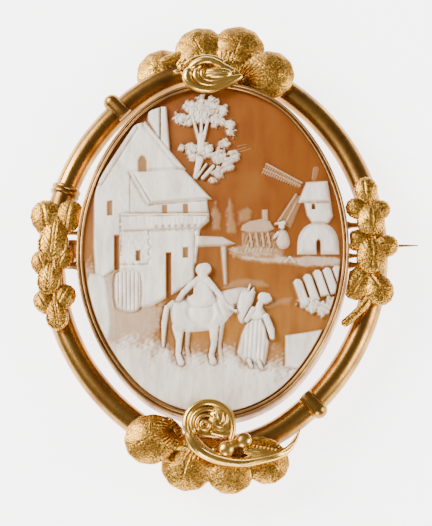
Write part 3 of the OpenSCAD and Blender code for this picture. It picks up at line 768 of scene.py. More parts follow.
@dataclass(frozen=True)
class Leaf:
    """One lobe: its middle, radius and the height of its back, in mm, and the way that it points."""

    x: float
    y: float
    r: float
    z: float
    heading: float
    kind: LeafKind
    edge: float = 0.5
    seed: int = 0

    def relief(self, s: np.ndarray, a: np.ndarray) -> np.ndarray:
        """Height of the lobe's face above its edge: a dome r * k * (1 - s²) with cuts.

        Grooves fan out from the lobe's root, short cuts nick its rim, and a tip has a raised
        rim, a hollow inside it and two grooves along its midrib.

        Args:
            s: share of the way from middle to rim.
            a: direction from the lobe's own heading, in radians.

        Returns:
            Heights in mm.
        """
        u, v = s * np.cos(a), s * np.sin(a)
        root = np.arctan2(v, u + ROOT_AT)
        from_root = np.hypot(u + ROOT_AT, v)
        uneven = 0.05 * ripple(u * self.r, v * self.r, 1.6, 20 + self.seed) * (1 - s**4)
        if self.kind is LeafKind.FAN:
            dome = 0.33 * self.r * (1 - s**2) ** 0.85
            cuts = np.cos(root * 30 + 0.6 * np.sin(self.seed)) * (1 - smooth_step(0.42, 0.95, from_root))
            nick = np.cos(a * 44) * smooth_step(0.74, 0.97, s) * smooth_step(-0.1, 0.5, -np.cos(a + 0.35))
            length = smooth_step(-0.5, -0.2, u) * (1 - smooth_step(0.45, 0.65, u))
            vein = -np.exp(-((v - 0.22 * u) / 0.03) ** 2) * length
            return dome + uneven + 0.17 * cuts + 0.12 * nick + 0.05 * vein
        cut_a = np.cos(a * 30) * smooth_step(0.66, 0.98, s)
        if self.kind is LeafKind.SIDE:
            dome = 0.36 * self.r * (1 - s**2) ** 0.8
            fold = -0.07 * np.exp(-((v - 0.1) / 0.1) ** 2) * smooth_step(-0.9, -0.4, -u)
            return dome + uneven + fold + 0.08 * cut_a
        dome = 0.24 * self.r * (1 - s**2)
        rim = 0.17 * np.exp(-((s - 0.92) / 0.07) ** 2) * smooth_step(-0.75, 0.1, u)
        rib = -0.11 * (np.exp(-((np.abs(v) - 0.1) / 0.05) ** 2)) * (1 - smooth_step(0.3, 0.62, u))
        return dome + uneven + rim + rib + 0.06 * cut_a + 0.02 * np.cos((np.abs(v) + u) * 24)

    def surface(self, oval: Oval, bezel: Oval, tube_r: float, behind: bool = False) -> Surface:
        """The lobe as one closed skin: face, rounded edge and a flat back.

        Where it lies over the tube its back follows the tube's round; it stays outside the bezel,
        and a lobe behind the tube ends under it.

        Args:
            oval: the line that the tube follows.
            bezel: the bezel's outer oval.
            tube_r: radius of the tube.
            behind: whether the tube passes over the lobe.

        Returns:
            The closed surface.
        """
        big = self.kind is LeafKind.FAN
        cols = 132 if big else 84
        share = np.linspace(0.03, 1, 44 if big else 26)[:, None]
        a = around(cols)[None, :]
        stretch = {LeafKind.FAN: 1.0, LeafKind.SIDE: 1.06, LeafKind.TIP: 1.12}[self.kind]
        root = {LeafKind.FAN: 0.34, LeafKind.SIDE: 0.3, LeafKind.TIP: 0.5}[self.kind]
        tail = 1 + root * np.maximum(-np.cos(a), 0) ** 1.4
        notch = 1 + (0.012 if big else 0.02) * np.cos(a * (11 if big else 13) + self.seed)
        reach = self.r * notch * share
        edge = np.array([[1.012, 0.8], [1.016, 0.5], [1.005, 0.15], [0.96, 0.0]])
        height = self.edge + self.relief(share, a)
        rim = height[-1]
        radii = np.concatenate([reach, reach[-1] * edge[:, :1], reach[::-3] * 0.95])
        up = np.concatenate([height, rim * edge[:, 1:], np.zeros((len(reach[::-3]), cols))])
        turn = np.radians(self.heading)
        px, py = radii * np.cos(a) * stretch * tail, radii * np.sin(a) / stretch**0.5
        x, y = self.x + px * np.cos(turn) - py * np.sin(turn), self.y + px * np.sin(turn) + py * np.cos(turn)
        for ring, room in ((oval, 0.1 if behind else FREE), (bezel, 0.12)):
            far, out = ring.outside(x, y)
            push = np.maximum(room - far, 0)
            x, y = x + out[..., 0] * push, y + out[..., 1] * push
        far, _ = oval.outside(x, y)
        back = self.z if behind else np.maximum(self.z, np.sqrt(np.maximum((tube_r + 0.04) ** 2 - far**2, 0)))
        z = np.maximum(self.z + up, back + 0.35 * np.minimum(up / max(self.edge, 0.1), 1))
        return skin_rings(np.stack([x, y, z], -1))


@dataclass
class Spray:
    """Stippled cast leaves on a wire, laid over the tube, beside it, or, where behind lists them, under it."""

    node: str
    leaves: list[Leaf]
    wire: list
    tube: FrameTube
    bezel: Oval
    behind: tuple = ()

    def parts(self) -> list[Surface]:
        """The leaves and their wire.

        Returns:
            Their closed surfaces.
        """
        laid = (self.tube.oval, self.bezel, self.tube.r)
        leaves = [leaf.surface(*laid, i in self.behind) for i, leaf in enumerate(self.leaves)]
        return leaves + [ridge(self.wire, 0.85, 16)]

    def dress(self, bench: Bench, gold: bpy.types.Material) -> None:
        """Makes the leaves and their wire as one piece."""
        bench.make(self.node + "_leaves", merge(self.parts()), gold, [self.node], crease=60)


def fan(node: str, rows: list, root: tuple, wire: list, tube: FrameTube, bezel: Oval, behind: tuple = ()) -> Spray:
    """A fan of four lobes that point away from one root.

    Args:
        node: the CAD node that it replaces.
        rows: x, y, radius and back height of each lobe in mm.
        root: where the lobes point away from.
        wire: the wire under them.
        tube: the frame's tube.
        bezel: the bezel's outer oval.
        behind: the lobes that the tube passes over.

    Returns:
        The spray.
    """
    leaves = [
        Leaf(x, y, r, z, float(np.degrees(np.arctan2(y - root[1], x - root[0]))), LeafKind.FAN, seed=i)
        for i, (x, y, r, z) in enumerate(rows)
    ]
    return Spray(node, leaves, wire, tube, bezel, behind)


def cluster(node: str, rows: list, wire: list, tube: FrameTube, bezel: Oval) -> Spray:
    """A spray of small lobes: rows of x, y, radius, back height, heading and kind."""
    leaves = [Leaf(*row, seed=i) for i, row in enumerate(rows)]
    return Spray(node, leaves, wire, tube, bezel)


@dataclass
class TopScroll:
    """Shell scroll: ridges that wrap round its left end and run together into a tip, with an arch above."""

    crest: float = 4.5
    middle: tuple = (0.2, 23.75)
    tip: tuple = (4.0, 23.55)

    def wrap(self, r: float, apart: float, z: float, tuck: float) -> Surface:
        """One ridge: part of a flat ellipse from the upper left round to the right, drawn to the tip.

        The ellipse is 1.6 times as wide as high, and a larger one lies further left and lower, so
        the ridges are broad on the left and crowd together below.

        Args:
            r: half height of the ellipse.
            apart: how far the ridges lie apart.
            z: height of the ridge's middle.
            tuck: how far below the tip it ends.

        Returns:
            The ridge.
        """
        share = np.linspace(0, 1, 22)
        a = np.radians(138 + 216 * share)
        draw = smooth_step(0.62, 1, share)
        x = self.middle[0] - 0.42 * (r - 0.6) + 1.6 * r * np.cos(a)
        y = self.middle[1] - 0.3 * (r - 0.6) + r * np.sin(a)
        x = x * (1 - draw) + (self.tip[0] - tuck) * draw
        y = y * (1 - draw) + (self.tip[1] - tuck * 0.8) * draw
        wide = 0.53 * apart * np.hypot(1.6 * np.cos(a), np.sin(a)) * (1 - 0.45 * draw) * smooth_step(-0.12, 0.1, share)
        rows = np.stack([x, y, z - 0.35 * draw, wide], -1)
        return ridge(list(rows), 1.1, 22, 120)

    def parts(self) -> list[Surface]:
        """Body, ridges, domed fan, arch over a hole, two posts and ruffles.

        Returns:
            The scroll's closed surfaces.
        """
        parts = [
            lens(-1.2, 23.2, 3.1, 2.2, 1.8, 0.4, -12), lens(1.3, 23.5, 3.1, 2.45, 1.6, 0.45, 6),
            self.wrap(1.85, 0.82, self.crest - 0.62, 0.0), self.wrap(1.3, 0.6, self.crest - 0.5, 0.1),
            self.wrap(0.88, 0.46, self.crest - 0.42, 0.22),
            lens(0.75, 23.75, self.crest - 0.75, 1.9, 0.98, 0.75, 0, 4, 0.05),
            ridge([(-3.2, 24.3, 3.2, 0.34), (-2.5, 25.15, 3.4, 0.5), (-1.4, 25.7, 3.6, 0.56), (-0.3, 25.72, 3.7, 0.5),
                   (0.7, 25.3, 3.75, 0.46), (1.7, 24.75, 3.7, 0.4), (3.0, 24.1, 3.55, 0.28)], 0.9, 22, 100),
            ridge([(-3.9, 25.3, 2.9, 0.26), (-2.8, 26.0, 3.1, 0.32), (-1.4, 26.45, 3.0, 0.34), (0.2, 26.35, 3.0, 0.32),
                   (1.6, 25.7, 3.0, 0.26)], 0.9, 18, 70),
            lens(-2.2, 24.8, 3.3, 0.9, 0.55, 0.55, 30), lens(1.5, 24.45, 3.3, 1.4, 0.5, 0.5, -18),
            rod((-2.1, 25.1, 1.0), (-2.1, 24.9, 3.2), [(0, 0.64), (1, 0.5)], 20),
            rod((2.4, 24.8, 1.0), (2.4, 24.6, 3.1), [(0, 0.64), (1, 0.5)], 20),
        ]
        ruffles = enumerate([
            (-4.1, 25.2, 2.9, 0.52), (-4.5, 25.7, 2.6, 0.36), (-3.75, 26.2, 2.7, 0.32), (-3.0, 26.55, 2.7, 0.3),
            (-4.85, 24.75, 2.3, 0.34), (-2.2, 26.85, 2.5, 0.26), (-1.2, 27.0, 2.4, 0.26), (1.4, 26.4, 2.6, 0.24),
            (-4.0, 24.4, 2.6, 0.3)])
        return parts + [lens(x, y, z, r * 1.15, r * 0.8, r * 0.9, 40 + 35 * i) for i, (x, y, z, r) in ruffles]

    def dress(self, bench: Bench, gold: bpy.types.Material) -> None:
        """Makes the scroll as one piece."""
        bench.make("top_scroll_gold", merge(self.parts()), gold, ["top_scroll"], crease=60)


@dataclass
class BottomScroll:
    """Scroll of nested ridges round an eye, a fluted leaf, two knobs, and a band that ends in a tail."""

    crest: float = 4.5
    middle: tuple = (-0.85, -23.6)

    def arc(self, share: float, width: float, z: float, first: float, last: float) -> Surface:
        """A ridge along a spiral about the eye, whose radius grows from 2.45 mm at the left to 3.5 at the right.

        Args:
            share: radius as a share of the outermost ridge's.
            width: radius of the ridge.
            z: height of its middle.
            first: direction where it starts, in degrees.
            last: direction where it ends.

        Returns:
            The ridge.
        """
        along = np.linspace(0, 1, 24)
        a = np.radians(first + (last - first) * along)
        r = share * (2.45 + 1.05 * (180 - np.degrees(a)) / 180)
        wide = width * (1 - 0.4 * smooth_step(0.7, 1, along)) * smooth_step(-0.1, 0.15, along)
        rows = np.stack([self.middle[0] + r * np.cos(a), self.middle[1] + r * np.sin(a), z + 0 * a, wide], -1)
        return ridge(list(rows), 1.1, 22, 110)

    def eye(self) -> Surface:
        """A small ring with a dark hole: a circle of 0.27 mm carried round one of 0.52 mm.

        Returns:
            The closed ring.
        """
        turn = around(40)[:, None]
        ring = around(20)[None, :]
        far = 0.52 + 0.27 * np.cos(ring)
        x, y = self.middle[0] + far * np.cos(turn), self.middle[1] + far * np.sin(turn)
        return skin_rings(np.stack([x, y, self.crest - 0.35 + 0.3 * np.sin(ring) + 0 * turn], -1), loop=True)

    def parts(self) -> list[Surface]:
        """Body, nested ridges, eye, the band with a fine line on it, knobs, fluted leaf, posts, loops and beads.

        Returns:
            The scroll's closed surfaces.
        """
        z, mid = self.crest, 1.15
        band = [(-3.0, -23.9, 3.75, 0.42), (-2.75, -24.9, 3.55, 0.72), (-2.15, -25.9, 3.35, 0.86),
                (-1.3, -26.7, 3.15, 0.84), (-0.2, -27.3, 2.9, 0.78), (1.0, -27.7, 2.65, 0.72),
                (2.5, -27.95, 2.45, 0.66), (4.0, -28.0, 2.35, 0.66), (6.3, -27.5, 2.45, 0.74),
                (8.0, -27.1, 2.3, 0.66), (9.4, -26.4, 1.75, 0.48), (10.4, -25.1, 1.6, 0.3), (11.0, -23.7, 1.5, 0.12)]
        line = [(-2.55, -24.6, 4.0, 0.12), (-1.95, -25.6, 3.95, 0.16), (-0.9, -26.6, 3.75, 0.16),
                (0.6, -27.3, 3.4, 0.16), (3.4, -27.8, 2.98, 0.16), (6.2, -27.5, 3.0, 0.18), (8.6, -26.8, 2.75, 0.14),
                (10.2, -25.5, 2.0, 0.09)]
        parts = [
            lens(-0.3, -22.95, 3.1, 2.5, 1.95, 0.35), lens(mid, -22.75, z - 1.0, 1.8, 1.95, 0.75, 20),
            self.arc(1.0, 0.5, z - 0.62, 214, -34), self.arc(0.7, 0.4, z - 0.5, 218, 58),
            self.arc(0.44, 0.28, z - 0.38, 222, 52), self.eye(),
            ridge([(-0.3, -24.35, z - 0.6, 0.3), (0.6, -24.6, z - 0.75, 0.36), (1.5, -24.7, z - 0.85, 0.42),
                   (2.4, -24.3, z - 0.85, 0.36), (2.85, -23.5, z - 0.8, 0.28)], 1, 18, 50),
            ridge(band, 0.86, 24, 170), ridge(line, 1, 14, 110),
            lens(1.75, -26.45, 2.9, 1.05, 1.0, 0.75, 70), lens(3.9, -25.35, 2.8, 1.1, 1.0, 0.75, 25),
            ridge([(1.6, -26.2, 2.9, 0.55), (2.8, -25.8, 2.85, 0.6), (3.8, -25.5, 2.85, 0.55)], 0.9, 18, 30),
            lens(6.1, -26.75, 2.3, 2.4, 0.85, 0.42, -8, 5, 0.03),
            ridge([(-2.3, -25.6, 0.9, 0.6), (-2.0, -25.7, 3.2, 0.55)], 1, 18, 12),
            ridge([(0.2, -25.9, 0.9, 0.5), (0.2, -26.6, 2.6, 0.45)], 1, 18, 12),
        ]
        for wide, deep in ((0.34, 0.55), (0.86, 1.05)):
            parts.append(ridge([
                (mid - wide, -21.95 - 0.15 * wide, z - 0.45, 0.12), (mid - wide, -22.6, z - 0.34, 0.21),
                (mid - wide * 0.7, -22.7 - deep * 0.75, z - 0.36, 0.21), (mid, -22.75 - deep, z - 0.42, 0.21),
                (mid + wide * 0.75, -22.65 - deep * 0.7, z - 0.4, 0.21), (mid + wide, -22.5, z - 0.38, 0.2),
                (mid + wide * 0.8, -21.9, z - 0.5, 0.12)], 1.2, 14, 60))
        parts += [lens(-3.3 + 1.3 * t**1.6, -23.9 - 2.8 * t, 3.25 - 0.3 * t, 0.34, 0.17, 0.4, 160 - 40 * t)
                  for t in (i / 10 for i in range(11))]
        return parts + [lens(4.7 + i * 0.46, -25.85 - 0.1 * i, 2.5, 0.24, 0.17, 0.34, 80) for i in range(8)]

    def dress(self, bench: Bench, gold: bpy.types.Material) -> None:
        """Makes the scroll as one piece."""
        bench.make("bottom_scroll_gold", merge(self.parts()), gold, ["bottom_scroll"], crease=60)


# The carving ---------------------------------------------------------------

def chain(*places: tuple) -> list:
    """Limbs one after another through places of (x, y, radius)."""
    return [a + b for a, b in zip(places, places[1:])]


# Outlines in mm on the cameo: corners as (x, y), lumps as (x, y, radius), limbs as two lumps
HOUSE_WALL = [(-14.99, -4.51), (-15.38, 0.6), (-15.42, 6.57), (-15.3, 9.03), (-10.22, 17.34), (-8.65, 17.59),
    (-3.78, 10.73), (-3.65, 10.46), (-0.66, 6.58), (-0.66, 4.54), (-1.56, 2.52), (-2.07, -2.05), (-5.42, -1.99),
    (-11.86, -2.15)]
GABLE_EDGE_LEFT = [(-15.3, 9.03), (-10.22, 17.34), (-9.69, 16.78), (-14.44, 8.74)]
GABLE_EDGE_RIGHT = [(-8.92, 17.73), (-3.39, 10.73), (-4.3, 10.47), (-9.17, 16.9)]
CHIMNEY = [(-8.52, 17.72), (-8.53, 19.11), (-6.83, 19.64), (-6.8, 14.64)]
WING_ROOF = [(-10.82, 10.59), (-3.65, 10.73), (-0.01, 6.57), (-8.05, 6.03)]
GALLERY = [(-11.8, 4.74), (-0.4, 4.54), (-0.4, 3.59), (-1.56, 2.52), (-11.77, 2.3)]
LEAN_TO = [(-2.2, 1.67), (1.37, 1.46), (3.1, 0.47), (1.53, 0.11), (-2.2, 0.08)]
POST = [(1.06, 0.19), (1.83, 0.17), (1.94, -5.05), (1.5, -5.05)]
LOWER = [(-11.66, 3.51), (-2.14, 3.35), (-2.19, -4.85), (-5.27, -6.27), (-7.95, -7.83), (-11.03, -7.78),
    (-12.11, -2.68)]
CORNER = [(-11.79, 3.92), (-8.16, 3.86), (-8.12, -2.21), (-11.73, -2.15)]
PIER = [(-16.49, -3.15), (-13.78, -3.19), (-13.24, -5.61), (-12.66, -11.34), (-13.81, -11.98), (-15.38, -9.31)]
GATE = [(-12.62, -3.35), (-11.85, -2.89), (-10.82, -2.79), (-9.79, -2.94), (-9.14, -3.4), (-9.05, -7.01),
    (-9.36, -8.14), (-10.25, -8.46), (-11.54, -8.28), (-12.51, -7.62)]
MILL_CAP = [(12.16, 8.8), (15.0, 8.95), (15.35, 5.95), (11.1, 5.96)]
MILL_BODY = [(11.87, 6.01), (15.35, 6.02), (15.59, 4.12), (14.93, 3.11), (12.87, 3.15), (12.24, 4.18)]
COTTAGE_ROOF = [(3.6, 1.89), (3.99, 3.37), (7.22, 3.99), (8.36, 1.95)]
COTTAGE_WALL = [(3.86, 2.03), (8.23, 1.95), (8.34, -0.88), (3.85, -0.8)]
COTTAGE_CHIMNEY = [(6.44, 3.47), (6.45, 5.09), (7.22, 5.08), (7.21, 3.45)]
FAR_COAT = [(8.62, 2.35), (9.52, 2.33), (9.96, 1.25), (10.02, 0.3), (9.5, -0.36), (8.6, -0.28), (8.16, 0.6),
    (8.3, 1.68)]
BLOCK = [(9.29, -11.73), (11.83, -11.38), (15.01, -10.83), (16.92, -10.86), (14.94, -16.86), (9.25, -16.0)]
MEADOW = [(-17.38, -12.98), (-13.05, -11.2), (-9.2, -11.52), (-6.64, -12.75), (-3.45, -13.98), (0.37, -13.77),
    (2.54, -13.67), (6.34, -14.65), (9.89, -15.48), (16.87, -14.28), (16.82, -17.93), (11.06, -25.62), (-10.36,
    -25.35), (-17.27, -20.07)]
HORSE_BODY = [(-5.39, -7.34), (-4.62, -6.75), (-2.83, -6.44), (-0.91, -6.61), (0.5, -6.36), (1.78, -6.92),
    (2.36, -7.99), (2.29, -9.05), (1.78, -9.9), (0.76, -10.68), (-0.14, -11.0), (-2.18, -11.16), (-3.97, -11.2),
    (-4.99, -10.39), (-5.45, -8.93)]
HORSE_NECK = [(0.12, -6.76), (0.76, -5.97), (1.78, -5.72), (2.81, -5.51), (3.83, -5.35), (4.6, -5.5), (4.85,
    -6.17), (4.08, -7.35), (3.19, -8.13), (2.48, -9.05), (1.65, -9.7), (0.76, -9.03)]
HORSE_HEAD = [(3.69, -5.72), (4.52, -5.66), (5.23, -5.84), (5.61, -5.85), (5.51, -6.66), (5.15, -7.76), (4.86,
    -8.86), (4.39, -9.83), (3.84, -10.24), (3.37, -9.82), (3.14, -8.83), (2.98, -7.73), (3.22, -6.5)]
WALKER_SKIRT = [(4.7, -9.35), (6.44, -9.3), (7.0, -11.02), (7.22, -12.68), (6.93, -14.38), (6.64, -15.54),
    (5.31, -15.32), (4.06, -15.11), (3.17, -13.96), (3.7, -11.65)]
WALKER_TORSO = [(5.17, -8.13), (6.28, -7.78), (7.1, -9.26), (7.05, -9.87), (4.62, -10.01), (4.39, -9.46), (4.75,
    -8.69)]
RIDER_TORSO = [(-2.01, -4.07), (-0.39, -4.07), (0.08, -5.15), (0.5, -6.36), (0.71, -7.34), (-0.34, -8.22), (-1.59,
    -8.44), (-2.84, -8.0), (-3.57, -7.18), (-3.16, -6.03), (-2.53, -5.04)]
STONES = [(8.11, -16.38, 0.65), (9.25, -16.78, 0.84), (10.38, -16.93, 0.91), (11.52, -16.82, 0.78)]
BRANCHES = [(-2.57, 17.88, 0.18, -1.78, 14.96, 0.26), (-1.45, 17.58, 0.17, -1.45, 14.95, 0.29), (-0.54, 17.7,
    0.18, -1.19, 14.95, 0.26), (-1.48, 15.37, 0.46, -1.51, 13.44, 0.48), (-1.64, 12.07, 0.49, -2.16, 9.61,
    0.34), (0.12, 11.07, 0.25, -1.25, 9.45, 0.25), (-0.79, 11.36, 0.16, -1.83, 9.74, 0.16)]
NEAR_LEGS = chain((-4.35, -10.54, 0.82), (-4.24, -12.39, 0.39), (-4.36, -14.1, 0.34), (-3.98, -15.22, 0.42))
NEAR_LEGS += chain((0.18, -10.47, 0.65), (0.22, -12.85, 0.39), (-0.14, -14.29, 0.34), (0.12, -15.15, 0.43))
FAR_LEGS = chain((-3.12, -11.22, 0.34), (-3.22, -13.19, 0.25), (-2.86, -15.3, 0.29))
FAR_LEGS += chain((1.14, -10.09, 0.47), (0.88, -12.86, 0.27), (1.2, -15.23, 0.29))
HORSE_TAIL = chain((-5.01, -7.21, 0.26), (-5.84, -7.99, 0.34), (-6.17, -9.98, 0.36), (-6.26, -13.02, 0.16))
HORSE_EARS = [(4.69, -5.74, 0.2, 4.88, -5.1, 0.1), (5.11, -5.99, 0.18, 5.37, -5.6, 0.1)]
RIDER_ARMS = chain((-1.81, -4.39, 0.43), (-3.6, -5.97, 0.38), (-4.37, -7.02, 0.29))
RIDER_ARMS += chain((-0.59, -4.48, 0.43), (0.76, -6.17, 0.38), (2.04, -7.98, 0.31), (3.06, -8.66, 0.22))
RIDER_HEAD = [(-1.36, -3.06, 0.78, -0.88, -2.96, 0.8)]
RIDER_NECK = [(-1.2, -3.6, 0.7, -1.2, -4.0, 0.64)]
WALKER_ARMS = chain((5.22, -8.38, 0.34), (4.39, -9.83, 0.31))
WALKER_ARMS += chain((6.87, -9.38, 0.44), (7.49, -11.1, 0.47), (7.63, -12.08, 0.34))
WALKER_HEAD = [(6.53, -6.87, 0.72, 6.72, -6.95, 0.74)]
WALKER_FEET = [(4.67, -15.07, 0.29, 4.95, -15.85, 0.23), (5.94, -15.33, 0.29, 6.27, -16.06, 0.22)]
WALKER_NECK = [(7.06, -6.8, 0.5, 7.26, -7.02, 0.42), (6.12, -7.65, 0.39, 5.93, -8.26, 0.44)]
FAR_HEAD = [(8.95, 2.81, 0.4, 8.95, 2.68, 0.4), (8.18, 3.03, 0.16, 9.27, 3.2, 0.26), (8.49, 1.81, 0.23, 7.97,
    1.15, 0.18)]
ARCH = chain((9.36, -2.1, 0.16), (10.01, -1.44, 0.18), (10.64, -2.12, 0.16))
COTTAGE_POSTS = [(4.89, 1.74, 0.16, 5.14, 0.12, 0.16), (5.66, 1.86, 0.16, 5.91, 0.1, 0.16), (6.43, 1.85, 0.16,
    6.68, 0.09, 0.16), (7.2, 1.83, 0.16, 7.45, 0.08, 0.16)]
WINDOWS = [[(-6.49, 5.87), (-5.84, 5.86), (-5.84, 4.63), (-6.48, 4.64)], [(-3.77, 5.95), (-3.12, 5.94), (-3.12,
    4.72), (-3.76, 4.73)], [(-13.64, 6.54), (-12.99, 6.67), (-12.97, 4.62), (-13.62, 4.63)], [(-3.75, -0.0),
    (-3.1, -0.01), (-3.1, -1.36), (-3.74, -1.35)], [(-9.81, -0.3), (-9.29, -0.31), (-9.28, -1.66), (-9.8,
    -1.65)]]
LEFT_BANK = [(-17.03, -1.8), (-11.35, -1.89), (-9.24, -7.01), (-5.9, -7.46), (-5.89, -9.72), (-7.92, -12.07),
    (-10.47, -13.35), (-17.31, -17.45)]
GRASS = [(-7.95, -7.83), (-4.36, -7.48), (-3.32, -12.4), (2.28, -12.22), (6.35, -14.12), (9.15, -13.24), (9.89,
    -15.48), (-6.63, -15.25)]
FAR_BANK = [(2.82, -1.05), (6.41, -1.38), (11.29, -1.33), (17.05, -1.29), (17.03, -2.9), (13.84, -2.65), (11.15,
    -2.67), (9.36, -2.17), (6.41, -2.12), (4.1, -1.61)]
CHIMNEY_SIDE = [(-6.83, 19.64), (-6.04, 19.62), (-5.49, 12.83), (-6.8, 14.64)]
UNDER_WING = [(-10.81, 10.32), (-8.44, 6.04), (-0.66, 6.44), (-0.4, 4.54), (-10.76, 4.72)]
WING_END = [(-10.81, 10.45), (-10.29, 10.45), (-7.79, 6.03), (-8.44, 5.9)]
GALLERY_RAIL = [(-11.8, 4.74), (-0.4, 4.54), (-0.4, 4.13), (-11.8, 4.33)]
DOORS = [[(-5.94, -0.64), (-5.29, -0.65), (-5.26, -7.07), (-5.9, -7.06)], [(-12.68, 1.91), (-12.03, 1.9),
    (-11.98, -2.69), (-12.63, -2.68)]]
MILL_WINDOW = [(12.9, 5.79), (13.29, 5.78), (13.28, 4.97), (12.89, 4.98)]
MILL_DOOR = [(13.42, -1.3), (13.42, 0.5), (13.52, 0.78), (13.68, 0.88), (13.84, 0.78), (13.93, 0.5), (13.93,
    -1.3)]
THROAT = [(2.75, -7.73), (3.14, -7.6), (3.19, -8.27), (2.88, -8.4)]
TREE_CROWN = [(-1.72, 18.7, 1.82), (-4.2, 17.92, 0.98), (-2.9, 19.56, 0.98), (-0.28, 19.78, 1.24), (1.16, 18.92,
    0.98), (0.51, 17.68, 1.17), (2.2, 16.82, 0.91), (2.46, 15.71, 0.65), (-1.46, 20.36, 0.78), (-3.28, 17.48,
    0.78)]
TREE_LOW = [(-2.75, 13.6, 1.04), (-4.06, 13.76, 0.58), (-2.49, 12.49, 0.78), (-0.8, 13.29, 1.17), (1.55, 14.21,
    0.84), (0.77, 12.43, 1.17), (2.72, 12.4, 0.91), (2.07, 11.17, 0.91), (0.77, 10.24, 0.98), (0.12, 9.29,
    0.58)]
STREAKS = [(2.46, 13.09, 0.1, 4.41, 13.74, 0.07), (3.11, 12.94, 0.1, 5.06, 13.52, 0.07), (3.37, 13.9, 0.09,
    4.54, 14.15, 0.05)]
HEDGE = [(3.08, -0.52, 0.78), (4.36, -0.41, 0.91), (5.78, -0.57, 1.04), (7.19, -0.72, 0.91), (8.34, -1.15,
    0.65)]
UNDER_FENCE = [(11.74, -7.34, 0.91), (12.88, -7.89, 1.1), (14.15, -8.31, 1.1), (15.31, -7.66, 1.04), (16.33,
    -7.28, 0.91)]
RIDER_SKIRT = [(-2.94, -7.02), (0.31, -7.07), (0.64, -8.92), (0.02, -10.38), (-1.39, -10.89), (-3.0, -10.09),
    (-3.64, -8.6)]
POPLARS = [[(0.12, 2.36), (0.07, 4.66), (0.51, 6.29), (0.96, 4.78), (1.15, 2.34)], [(1.99, 1.92), (1.93, 4.49),
    (2.38, 6.66), (2.83, 4.48), (3.02, 1.91)], [(3.47, 3.25), (3.61, 4.74), (4.51, 5.53), (5.16, 4.84), (4.76,
    3.36)]]
MOUNDS = [[(5.87, -8.18), (7.15, -7.27), (8.94, -6.9), (10.22, -6.79), (9.7, -7.57), (8.04, -7.95)], [(1.53,
    -5.45), (3.07, -4.27), (6.4, -4.46), (7.16, -5.27), (4.34, -5.49)]]
HEDGE_BED = [(2.18, -0.24), (4.88, 0.39), (8.73, -0.08), (9.24, -1.43), (6.41, -1.78), (3.07, -1.46)]
ATTIC = [(-9.59, 10.57), (-9.6, 12.01), (-9.45, 12.49), (-9.14, 12.73), (-8.82, 12.48), (-8.61, 11.92), (-8.6,
    10.55)]
ELBOW = [(-3.15, -6.11), (-2.45, -5.38), (-2.42, -6.32), (-2.89, -6.58)]


